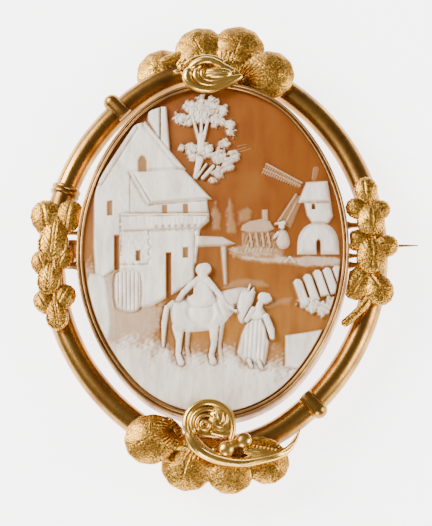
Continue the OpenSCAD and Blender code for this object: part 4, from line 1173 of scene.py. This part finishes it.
@dataclass
class Relief:
    """Height of the carving over the shell's face, in mm, at points x, y, and how much white is left there."""

    x: np.ndarray
    y: np.ndarray
    h: np.ndarray = field(init=False)
    white: np.ndarray = field(init=False)

    def __post_init__(self) -> None:
        """Starts from the bare brown ground."""
        self.h, self.white = np.zeros_like(self.x), np.zeros_like(self.x)

    def paint(self, at: np.ndarray, mask: np.ndarray, white: float) -> None:
        """Leaves at least so much of the white layer where the mask is 1."""
        self.white[at] = self.white[at] * (1 - mask) + np.maximum(self.white[at], white) * mask

    def near(self, points: np.ndarray, room: float) -> np.ndarray:
        """Indices of the places within room of a table's box."""
        (x0, y0), (x1, y1) = points.min(0) - room, points.max(0) + room
        return np.flatnonzero((self.x > x0) & (self.x < x1) & (self.y > y0) & (self.y < y1))

    def depth_inside(self, outline: list, room: float) -> tuple[np.ndarray, np.ndarray]:
        """Distance to an outline's nearest edge, positive inside it by the crossing rule.

        Args:
            outline: its corners.
            room: how far outside its box places are looked at, in mm.

        Returns:
            Indices of those places, and their distances in mm.
        """
        points = np.array(outline, float)
        at = self.near(points, room)
        x, y = self.x[at], self.y[at]
        nearest, inside = np.full(len(at), np.inf), np.zeros(len(at), bool)
        for (ax, ay), (bx, by) in zip(points, np.roll(points, -1, 0)):
            dx, dy = bx - ax, by - ay
            t = np.clip(((x - ax) * dx + (y - ay) * dy) / (dx * dx + dy * dy), 0, 1)
            nearest = np.minimum(nearest, np.hypot(x - ax - t * dx, y - ay - t * dy))
            if dy:
                inside ^= ((ay > y) != (by > y)) & (x < dx * (y - ay) / dy + ax)
        return at, np.where(inside, nearest, -nearest)

    def slab(self, outline: list, height: float, bevel: float = 0.25, trench: float = 0.12,
             white: float = 1.0) -> None:
        """A flat layer over an outline with rounded edges, and a fine trench round it.

        Args:
            outline: its corners.
            height: height above the ground.
            bevel: width of the rounded edge.
            trench: how deep the trench round it is cut.
            white: how much of the white layer is left.
        """
        at, deep = self.depth_inside(outline, 0.5)
        under = self.h[at] - trench * smooth_step(-0.35, -0.08, deep)
        mask = smooth_step(-0.03, bevel, deep) ** 0.6
        self.h[at] = np.where(deep > -0.03, np.maximum(under * (1 - mask), height * mask), np.maximum(under, 0))
        self.paint(at, smooth_step(-0.06, 0.08, deep), white)

    def slabs(self, *rows: tuple) -> None:
        """Several slabs, each a row of what slab takes, from the lowest to the highest."""
        for row in rows:
            self.slab(*row)

    def cut(self, outline: list, floor: float = 0.0, soft: float = 0.1, white: float = 0.0) -> None:
        """Cuts an opening.

        Args:
            outline: its corners.
            floor: height that it is cut down to.
            soft: width of its sloping edge.
            white: how much of the white layer is left on the floor.
        """
        at, deep = self.depth_inside(outline, 0.3)
        mask = smooth_step(-soft, 0.04, deep)
        self.h[at] = self.h[at] * (1 - mask) + np.minimum(self.h[at], floor) * mask
        self.white[at] = self.white[at] * (1 - mask) + np.minimum(self.white[at], white) * mask

    def limb(self, row: tuple, height: float, base: float = 0.0, trench: float = 0.15, white: float = 1.0) -> None:
        """A rounded limb between two round ends: base + (height - base) * sqrt(1 - (d / r)²).

        Args:
            row: x, y and radius of one end, then of the other.
            height: height of its crest.
            base: height where its side starts.
            trench: how deep the trench round it is cut; without one it melts into what is there.
            white: how much of the white layer is left.
        """
        ax, ay, ar, bx, by, br = row
        at = self.near(np.array([(ax, ay), (bx, by)]), max(ar, br) + 0.4)
        x, y, dx, dy = self.x[at], self.y[at], bx - ax, by - ay
        t = np.clip(((x - ax) * dx + (y - ay) * dy) / max(dx * dx + dy * dy, 1e-9), 0, 1)
        r = ar + (br - ar) * t
        d = np.hypot(x - ax - t * dx, y - ay - t * dy)
        under = np.maximum(self.h[at] - trench * (1 - smooth_step(0.02, 0.28, d - r)), 0)
        crest = base + (height - base) * np.sqrt(np.clip(1 - (d / r) ** 2, 0, 1))
        self.h[at] = np.where(d < r, crest if trench else np.maximum(under, crest), under)
        self.paint(at, 1 - smooth_step(-0.08, 0.06, d - r), white)

    def limbs(self, rows: list, height: float, base: float = 0.0, trench: float = 0.15, white: float = 1.0) -> None:
        """Several limbs; a row of one end is a round lump."""
        for row in rows:
            self.limb(row if len(row) == 6 else row + row, height, base, trench, white)

    def haze(self, outline: list, height: float, soft: float, white: float, seed: int) -> None:
        """A thin layer whose ragged edge fades out: distance inside plus unevenness, smoothed.

        Args:
            outline: its corners.
            height: its height.
            soft: how far the edge fades, in mm.
            white: how much of the white layer is left.
            seed: picks the unevenness.
        """
        at, deep = self.depth_inside(outline, soft * 1.5)
        x, y = self.x[at], self.y[at]
        ragged = 0.5 * soft * ripple(x, y, 2.4, seed) + 0.3 * soft * ripple(x, y, 0.7, seed + 1)
        mask = smooth_step(-soft, soft, deep + ragged)
        self.h[at] = np.maximum(self.h[at], height * mask)
        self.paint(at, mask, white)

    def foliage(self, rows: list, height: float, white: float, seed: int) -> None:
        """A leaf mass: the union of ragged lumps, whose face is parted into clumps by creases.

        How deep a place lies is the largest of radius less distance over the lumps, made ragged by two
        sizes of unevenness; creases lie where a third unevenness passes through zero.

        Args:
            rows: x, y and radius of each lump.
            height: height of its face.
            white: how much of the white layer is left on its thickest parts.
            seed: picks the unevenness.
        """
        lumps = np.array(rows, float)
        at = self.near(np.concatenate([lumps[:, :2] - lumps[:, 2:], lumps[:, :2] + lumps[:, 2:]]), 0.6)
        x, y = self.x[at], self.y[at]
        fine, finer = ripple(x, y, 0.85, seed), ripple(x, y, 0.42, seed + 1)
        ragged = np.clip(lumps[:, 2].mean() / 1.1, 0.4, 1)
        deep = (lumps[:, 2] - np.hypot(x[:, None] - lumps[:, 0], y[:, None] - lumps[:, 1])).max(-1)
        deep = deep + ragged * (0.3 * fine + 0.16 * finer)
        crease = np.exp(-(ripple(x, y, 1.15, seed + 2) / 0.14) ** 2)
        crease += 0.6 * np.exp(-(ripple(x, y, 0.7, seed + 3) / 0.12) ** 2)
        mask = smooth_step(-0.03, 0.14, deep)
        face = height * (0.6 + 0.4 * smooth_step(0, 0.7, deep)) + height * (0.16 * fine - 0.26 * crease)
        self.h[at] = np.maximum(self.h[at], np.maximum(face, 0.04) * mask)
        # The white share thins towards the edges; in the creases it drops further, partly thinner white and partly
        # painted shade.
        share = white * (0.72 + 0.28 * smooth_step(0.05, 0.5, deep)) * (1 - 0.12 * np.minimum(crease, 1))
        self.white[at] = self.white[at] * (1 - mask) + np.maximum(self.white[at], share) * mask

    def grooves(self, outline: list, heading: float, spacing: float, depth: float, sharp: float = 1.0) -> None:
        """Parallel grooves inside an outline, depth * (0.5 + 0.5 cos)^sharp.

        Args:
            outline: its corners.
            heading: direction that they run in, in degrees.
            spacing: how far apart they lie, in mm.
            depth: their depth in mm.
            sharp: above 1 for narrow grooves.
        """
        at, deep = self.depth_inside(outline, 0.1)
        mask = smooth_step(0.05, 0.3, deep)
        across = -np.sin(np.radians(heading)) * self.x[at] + np.cos(np.radians(heading)) * self.y[at]
        wave = (0.5 + 0.5 * np.cos(across * 2 * np.pi / spacing)) ** sharp
        self.h[at] = np.maximum(self.h[at] - depth * wave * mask, 0)

    def rough(self, depth: float, size: float, seed: int, above: float) -> None:
        """Tool marks: lumps, and upright strokes three times as long as wide.

        Args:
            depth: height of the marks in mm.
            size: size of the lumps in mm.
            seed: picks the marks.
            above: height of the carving from which they are seen.
        """
        marks = ripple(self.x, self.y, size, seed) + ripple(self.x, self.y, size * 2.6, seed + 2)
        marks += ripple(self.x * 2.4, self.y * 0.7, size, seed + 1)
        self.h += depth * marks * smooth_step(above, above + 0.15, self.h)
        self.white *= 1 - 0.05 * np.clip(marks, 0, 1)


class Farmyard(Relief):
    """The carved scene: a house, a tree, a mill, and a faceless rider and walker."""

    def ground(self) -> None:
        """The meadow, the grass, the far bank and hedge, the lowest layer, which fades into the brown."""
        self.haze(MEADOW, 0.34, 2.4, 0.95, 31)
        self.haze(LEFT_BANK, 0.3, 1.4, 0.5, 33)
        self.haze(GRASS, 0.08, 0.9, 0.22, 35)
        self.haze(rounded(FAR_BANK), 0.2, 0.3, 0.62, 36)
        self.haze(HEDGE_BED, 0.12, 0.4, 0.42, 37)
        self.foliage(HEDGE, 0.26, 0.53, 39)
        for i, outline in enumerate(POPLARS + MOUNDS):
            self.haze(outline, 0.12, 0.35, 0.34, 43 + i)
        self.limbs(ARCH, 0.4, 0.25, 0.05, 0.7)

    def house(self) -> None:
        """The house with its gable, chimney, wing, gallery and corner stones."""
        # Under the wing roof the slab keeps 0.85 of the white, a painted shade for that recess.
        self.slabs((HOUSE_WALL, 0.46, 0.3), (CHIMNEY, 0.62, 0.3, 0.2), (CHIMNEY_SIDE, 0.6, 0.2, 0.02),
                   (LOWER, 0.5, 0.4, 0.02, 0.97), (GABLE_EDGE_LEFT, 0.64, 0.3, 0.08),
                   (GABLE_EDGE_RIGHT, 0.64, 0.3, 0.08), (UNDER_WING, 0.32, 0.2, 0.0, 0.85),
                   (WING_ROOF, 0.74, 0.35, 0.16), (WING_END, 0.62, 0.25, 0.1), (CORNER, 0.6, 0.3, 0.06))
        rng = np.random.default_rng(3)
        for row in range(9):
            for column in range(4):
                x = -11.65 + 0.92 * column + 0.4 * (row % 2) + rng.uniform(-0.12, 0.12)
                y = 3.4 - 0.66 * row + rng.uniform(-0.08, 0.08)
                self.limb((x, y, 0.25, x + rng.uniform(0.1, 0.4), y, 0.25), rng.uniform(0.58, 0.68), 0.54, 0.04)
        self.slabs((GALLERY, 0.76, 0.3, 0.18), (GALLERY_RAIL, 0.82, 0.15, 0.06))
        for x in np.arange(-11.4, -1.0, 0.56):
            self.cut([(x, 4.0), (x + 0.12, 4.0), (x + 0.12, 3.1), (x, 3.1)], 0.68, 0.06, 0.97)
        for x in np.arange(-7.3, -1.2, 0.84):
            self.cut([(x, 3.0), (x + 0.34, 3.0), (x + 0.34, 2.15), (x, 2.15)], 0.45, 0.1, 0.8)
        # The attic and window floors keep 0.3 of the white: partly the brown showing through, partly a painted shade
        # for their recess.
        self.cut(ATTIC, 0.25, 0.22, 0.3)
        for opening in WINDOWS:
            self.cut(opening, 0.2, 0.1, 0.3)
        for opening in DOORS:
            self.cut(opening, 0.0, 0.08, 0.0)

    def yard(self) -> None:
        """The lean-to, the pier and the gate with its pickets."""
        self.slabs((POST, 0.42, 0.25, 0.05, 0.62), (LEAN_TO, 0.5, 0.35, 0.1, 0.66),
                   (rounded(PIER, 1), 0.58, 0.5, 0.08), (rounded(GATE, 1), 0.6, 0.3, 0.2))
        for x in np.linspace(-12.1, -9.5, 6):
            self.cut([(x, -2.9), (x + 0.1, -2.9), (x + 0.14, -8.2), (x + 0.04, -8.2)], 0.4, 0.1, 0.85)

    def trees(self) -> None:
        """The tree: stems and branches, then its two crowns and faint twigs."""
        self.limbs(STREAKS, 0.1, 0.05, 0.0, 0.35)
        self.foliage(TREE_LOW, 0.52, 0.84, 53)
        self.foliage(TREE_CROWN, 0.58, 0.88, 57)
        self.limbs(BRANCHES, 0.5, 0.2, 0.1, 0.95)

    def sail(self, hub: tuple, tip: tuple, wide: float) -> None:
        """A lattice sail: a thin plate with a spine along one edge, one in its middle, and rungs across it.

        Args:
            hub: where it starts.
            tip: where it ends.
            wide: half its width at the tip, in mm.
        """
        hub, tip = np.array(hub), np.array(tip)
        along = (tip - hub) / np.hypot(*(tip - hub))
        side = np.array([-along[1], along[0]]) * wide
        plate = [hub - side * 0.5, hub + side * 0.5, tip + side, tip - side]
        self.slab([tuple(corner) for corner in plate], 0.1, 0.15, 0.0, 0.28)
        for offset, thick in ((-0.85, 0.13), (0.1, 0.09)):
            self.limb((*(hub + side * offset * 0.6), thick, *(tip + side * offset), thick), 0.26, 0.12, 0.0, 0.5)
        for t in np.linspace(0.12, 0.98, 15):
            middle = hub + (tip - hub) * t
            reach = side * (0.5 + 0.5 * t)
            self.limb((*(middle - reach), 0.07, *(middle + reach), 0.07), 0.2, 0.1, 0.0, 0.42)

    def far_side(self) -> None:
        """The windmill, the cottage, the far figure, the fence, the cut block and the stones."""
        self.sail((11.5, 8.3), (6.75, 10.75), 0.78)
        self.sail((11.3, 6.9), (9.25, 3.0), 0.95)
        self.limb((13.2, 9.2, 0.3, 13.5, 10.6, 0.4), 0.08, 0.04, 0.0, 0.26)
        turn = np.linspace(0, np.pi, 16)
        dome = [(13.63 + 2.72 * np.cos(a), -1.05 + 4.35 * np.sin(a) ** 0.62) for a in turn]
        self.slabs((dome, 0.5, 0.9, 0.12, 0.88), (MILL_BODY, 0.52, 0.4, 0.08, 0.86), (MILL_CAP, 0.6, 0.5, 0.12, 0.94))
        self.cut(MILL_WINDOW, 0.1, 0.08, 0.2)
        self.cut(MILL_DOOR, 0.0, 0.08, 0.05)
        self.slabs((COTTAGE_CHIMNEY, 0.24, 0.2, 0.05, 0.5), (COTTAGE_WALL, 0.12, 0.2, 0.0, 0.3))
        self.grooves(COTTAGE_WALL, 70, 0.45, 0.1)
        self.slab(rounded(COTTAGE_ROOF, 1), 0.24, 0.25, 0.05, 0.5)
        self.limbs(COTTAGE_POSTS, 0.24, 0.14, 0.05, 0.5)
        self.slab(rounded(FAR_COAT), 0.4, 0.5, 0.05, 0.68)
        self.limbs(FAR_HEAD, 0.46, 0.3, 0.05, 0.8)
        for i in range(5):
            x, y = 10.95 + 1.26 * i, -4.45 + (0, 0.66, 1.22, 1.5, 1.75)[i]
            self.slab([(x - 0.62, y - 0.35), (x - 0.25, y + 0.12), (x + 0.3, y + 0.1), (x + 0.62, y - 0.25),
                       (x + 1.6, y - 3.3), (x + 0.4, y - 3.5)], 0.6, 0.22, 0.14)
        self.foliage(UNDER_FENCE, 0.5, 0.9, 61)
        self.slab(BLOCK, 0.5, 0.4, 0.1, 0.92)
        self.foliage(STONES, 0.5, 0.92, 65)

    def figures(self) -> None:
        """The horse, its rider and the walker, in the highest relief."""
        self.limbs(HORSE_TAIL, 0.6, 0.35)
        self.limbs(FAR_LEGS, 0.36, 0.2, 0.05, 0.62)
        self.limbs(NEAR_LEGS, 0.66, 0.4)
        self.slabs((rounded(HORSE_BODY), 0.74, 1.4), (rounded(HORSE_NECK), 0.74, 1.0, 0),
                   (rounded(HORSE_HEAD, 1), 0.8, 0.75, 0.1))
        self.limbs(HORSE_EARS, 0.78, 0.5, 0.0)
        self.slabs((rounded(RIDER_SKIRT), 0.79, 1.2, 0.02), (rounded(RIDER_TORSO, 1), 0.85, 0.8, 0.04))
        self.limbs(RIDER_ARMS, 0.86, 0.6, 0.06)
        self.limbs(RIDER_HEAD, 0.88, 0.6)
        self.limbs(RIDER_NECK, 0.87, 0.6, 0.0)
        self.slab(WALKER_SKIRT, 0.76, 0.45, 0.16)
        self.grooves(WALKER_SKIRT, 86, 0.55, 0.2, 1.5)
        self.slab(rounded(WALKER_TORSO), 0.8, 0.7, 0.1)
        self.limbs(WALKER_ARMS, 0.82, 0.5)
        self.limbs(WALKER_HEAD + WALKER_FEET, 0.84, 0.5)
        self.limbs(WALKER_NECK, 0.82, 0.5, 0.0)
        self.cut(ELBOW, 0.2, 0.1, 0.35)
        self.cut(THROAT, 0.3, 0.12, 0.5)

    def carve(self) -> None:
        """Cuts everything in order, as what comes later lies over what is there, then the tool marks."""
        for layer in (self.ground, self.trees, self.house, self.yard, self.far_side, self.figures):
            layer()
        self.rough(0.016, 0.9, 11, 0.2)


@dataclass
class Cameo:
    """Domed oval of shell with its carving, which fades out over a plain border under the bezel's lip."""

    oval: Oval = Oval(17.05, 22.3, 13.952)
    dome_r: float = 300.0
    face_z: float = 3.485
    back_z: float = 1.785
    rows: int = 262
    cols: int = 366
    border: tuple = (-0.62, -0.42)

    def half(self, side: int) -> tuple[Surface, np.ndarray]:
        """Half of the shell: a grid of rows scaled to the oval's width, on the ball's surface plus the relief.

        Args:
            side: 1 for the upper half, -1 for the lower one.

        Returns:
            The closed surface, and the white share of each point, with painted shade in low places and on steep
            slopes.
        """
        y = side * np.linspace(0, self.oval.h - 0.012, self.rows)
        across = np.linspace(-1, 1, self.cols)
        x = self.oval.half_width(y)[:, None] * across[None, :]
        y = np.broadcast_to(y[:, None], x.shape)
        relief = Farmyard(x.ravel(), y.ravel())
        relief.carve()
        far, _ = self.oval.outside(relief.x, relief.y)
        height = np.clip(relief.h, 0, 0.9) * (1 - smooth_step(*self.border, far))
        up, along = np.gradient(height.reshape(x.shape))
        slope = np.hypot(up / abs(y[1, 0] - y[0, 0]), along / (x[:, 1:2] - x[:, :1])).ravel()
        # Painted shade: the white share is lowered in low places, and on steep slopes, where it also stands for the
        # thinner white on cut edges.
        thick = (0.8 + 0.2 * smooth_step(0.1, 0.5, height)) * (1 - 0.3 * smooth_step(0.5, 2.6, slope))
        white = relief.white * thick * (1 - smooth_step(-0.7, -0.42, far))
        ball = self.face_z - self.dome_r + np.sqrt(self.dome_r**2 - relief.x**2 - relief.y**2)
        top = np.stack([relief.x, relief.y, ball + height], -1)
        index = np.arange(x.size).reshape(x.shape)
        quads = np.stack([index[:-1, :-1], index[:-1, 1:], index[1:, 1:], index[1:, :-1]], -1).reshape(-1, 4)
        border = np.concatenate([index[0], index[1:, -1], index[-1, -2::-1], index[-2:0:-1, 0]])
        low = top[border] * [1, 1, 0] + [0, 0, self.back_z]
        base = x.size + np.arange(len(border))
        walls = np.stack([border, base, np.roll(base, -1), np.roll(border, -1)], -1)
        middle = np.array([[0, side * self.oval.h * 0.45, self.back_z]])
        fan_tris = np.stack([np.full(len(base), x.size + len(base)), np.roll(base, -1), base], -1)
        if side < 0:
            quads = quads[:, ::-1]
            walls, fan_tris = walls[:, ::-1], fan_tris[:, ::-1]
        surface = Surface(np.concatenate([top, low, middle]), np.concatenate([quads, walls]), fan_tris).outward()
        return surface, np.concatenate([white, np.zeros(len(border) + 1)])

    def dress(self, bench: Bench, shell: bpy.types.Material) -> None:
        """Makes the two halves, each with its white share as an attribute.

        Args:
            bench: where they go.
            shell: their finish.
        """
        for name, side in (("cameo_upper", 1), ("cameo_lower", -1)):
            surface, white = self.half(side)
            piece = bench.make(name, surface, shell, ["cameo"], crease=75)
            # The white attribute holds the white share with its painted shade.
            layer = piece.data.attributes.new("white", "FLOAT", "POINT")
            layer.data.foreach_set("value", white.astype(np.float32))


@dataclass(frozen=True)
class Studio:
    """The camera at the photograph's angle, three soft lights, and the paper that the brooch lies on.

    Distance and pixel are in mm, angles in degrees, lights and paper in m.
    """

    tilt: float = 17.0
    swing: float = 3.15
    far: float = 350.0
    pixel: float = 0.13
    frame_px: tuple = (432, 526)
    middle_px: tuple = (213.8, 255.6)
    sensor: float = 36.0
    paper: float = 1.5
    dim: float = 0.38
    lights: tuple = (
        ("key_upper_left", (-0.36, 0.20, 0.30), 0.30, 6.0, "#FFFFFF"),
        ("fill_right", (0.42, -0.06, 0.22), 0.22, 2.4, "#FFFAF2"),
        ("low_front", (-0.10, -0.42, 0.20), 0.22, 2.2, "#FFFDF8"),
    )

    def camera(self, bench: Bench) -> None:
        """Looks at the oval's middle from far mm away; the lens makes one of the photograph's pixels so wide there.

        Args:
            bench: where the oval's middle lies.
        """
        th, ph = np.radians([self.tilt, self.swing])
        back = np.array([np.sin(ph) * np.cos(th), -np.sin(th), np.cos(ph) * np.cos(th)])
        right = np.cross([0, 1, 0], back)
        right /= np.linalg.norm(right)
        up = np.cross(back, right)
        target = np.array([bench.x, bench.y, bench.z])
        wide, high = self.frame_px
        data = bpy.data.cameras.new("camera")
        data.sensor_width = self.sensor
        data.lens = self.sensor * self.far / (high * self.pixel)
        data.shift_x = (wide / 2 - self.middle_px[0]) / high
        data.shift_y = -(high / 2 - self.middle_px[1]) / high
        data.clip_start = 0.01
        seen = put("camera", data)
        turned = Matrix([[*row, 0] for row in np.stack([right, up, back], 1).tolist()] + [[0, 0, 0, 1]])
        seen.matrix_world = Matrix.Translation(Vector((target + back * self.far) * MM)) @ turned
        bpy.context.scene.camera = seen

    def light(self, name: str, place: tuple, size: float, power: float, colour: str) -> None:
        """A soft square light that faces the brooch.

        Args:
            name: its name.
            place: where it stands, in m.
            size: its side in m.
            power: its power in W.
            colour: its colour as sRGB hex.
        """
        data = bpy.data.lights.new(name, "AREA")
        data.shape, data.size, data.energy = "SQUARE", size, power
        data.color = linear(colour)[:3]
        lamp = put(name, data)
        lamp.location = place
        lamp.rotation_euler = (-Vector(place)).to_track_quat("-Z", "Y").to_euler()

    def floor(self) -> None:
        """A flat square of pale paper, 3 m wide."""
        ends = (-self.paper, self.paper)
        mesh = bpy.data.meshes.new("paper")
        mesh.from_pydata([(x, y, 0.0) for y in ends for x in ends], [], [(0, 1, 3, 2)])
        mesh.materials.append(Backdrop().build())
        paper = put("paper", mesh)

    def set_up(self, bench: Bench) -> None:
        """Makes the camera, the lights, the room's dim light and the paper.

        Args:
            bench: where the oval's middle lies.
        """
        self.camera(bench)
        for row in self.lights:
            self.light(*row)
        world = bpy.data.worlds.new("dim_room")
        world.use_nodes = True
        tree = world.node_tree
        fill(tree, tree.nodes["Background"], Color=linear("#C8BDB0"), Strength=self.dim)
        bpy.context.scene.world = world
        self.floor()


# Sprays in mm from the oval's middle: lobes of a fan as (x, y, radius, back height), those of a cluster with
# heading and kind too, wires as (x, y, z, radius)
SIDE, TIP = LeafKind.SIDE, LeafKind.TIP
TOP_FAN = [(-6.75, 25.27, 3.44, -0.35), (-1.66, 28.05, 3.44, 0.26), (3.13, 27.95, 3.64, 0.26),
           (7.39, 24.15, 3.29, 1.7)]
TOP_WIRE = [(-7.3, 26.5, 0.7, 0.7), (-3.7, 27.8, 0.7, 0.75), (0, 28.2, 0.8, 0.8), (4.5, 27.6, 1.0, 0.75),
            (8.6, 26.0, 1.6, 0.6)]
LOW_FAN = [(6.79, -27.68, 2.78, 0.26), (2.1, -28.65, 3.03, 0.26), (-3.23, -27.81, 3.4, 0.26),
           (-8.02, -24.85, 3.18, 1.7)]
LOW_WIRE = [(7.0, -26.7, 0.7, 0.7), (3.5, -27.7, 0.7, 0.75), (0, -28.1, 0.8, 0.8), (-4.5, -27.5, 1.0, 0.75),
            (-8.4, -26.0, 1.6, 0.6)]
LEFT_LOBES = [
    (-21.76, 5.09, 2.06, 1.7, 100, SIDE), (-18.62, 5.3, 1.8, 1.7, 80, SIDE), (-20.75, 1.2, 2.12, 2.05, -95, TIP),
    (-22.12, -1.17, 1.53, 1.7, 110, SIDE), (-19.32, -0.4, 1.42, 1.7, 70, SIDE), (-21.16, -3.87, 1.66, 2.05, -95, TIP),
    (-21.81, -6.43, 1.42, 1.7, 120, SIDE), (-19.23, -5.8, 1.53, 1.7, 60, SIDE), (-20.04, -8.71, 1.53, 2.05, -80, TIP)]
LEFT_WIRE = [(-20.2, 5.1, 2.15, 0.5), (-20.4, 0, 2.3, 0.5), (-20.3, -7.6, 2.3, 0.44)]
RIGHT_LOBES = [
    (19.89, 8.03, 1.55, 1.7, 95, SIDE), (18.69, 5.46, 1.42, 1.7, 150, SIDE), (21.55, 5.2, 1.36, 1.7, 20, SIDE),
    (20.46, 3.55, 1.86, 2.05, -90, SIDE), (18.88, 1.05, 1.5, 1.85, 170, SIDE), (22.35, 0.25, 1.5, 1.85, 20, SIDE),
    (20.45, -1.45, 2.0, 2.2, -85, SIDE), (18.53, -4.85, 1.95, 1.85, -120, SIDE), (21.3, -5.65, 1.95, 1.85, -60, SIDE)]
RIGHT_TWIG = [(20.15, 7.6, 1.6, 0.5), (20.5, 3.4, 1.7, 0.56), (20.4, -1.2, 1.7, 0.6), (20.2, -5.1, 1.8, 0.6),
              (19.6, -7.3, 2.1, 0.6), (17.6, -9.4, 2.15, 0.56), (16.5, -10.2, 2.1, 0.56)]


def main() -> None:
    logging.basicConfig(level=logging.INFO, format="%(message)s")
    tube, bezel = FrameTube(), Bezel()
    bench = Bench.from_frame(tube.band_r)
    Studio().set_up(bench)
    gold, rim_gold, leaf_gold, scroll_gold, pin_gold = (
        finish.build() for finish in (TUBE_GOLD, BEZEL_GOLD, LEAF_GOLD, SCROLL_GOLD, PIN_GOLD))
    tube.dress(bench, gold)
    bezel.dress(bench, rim_gold)
    Cameo().dress(bench, Shell().build())
    for spray in (fan("top_spray", TOP_FAN, (0.0, 22.5), TOP_WIRE, tube, bezel.oval, (0,)),
                  fan("bottom_spray", LOW_FAN, (0.0, -22.5), LOW_WIRE, tube, bezel.oval),
                  cluster("left_spray", LEFT_LOBES, LEFT_WIRE, tube, bezel.oval),
                  cluster("right_spray", RIGHT_LOBES, RIGHT_TWIG, tube, bezel.oval)):
        spray.dress(bench, leaf_gold)
    TopScroll().dress(bench, scroll_gold)
    BottomScroll().dress(bench, scroll_gold)
    for node, finish in (("pin_hinge", gold), ("pin_catch", gold), ("pin_stem", pin_gold)):
        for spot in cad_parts[node].material_slots:
            spot.material = finish
        log.info("%s: the packed solid, with its finish", node)


if __name__ == "__main__":
    main()
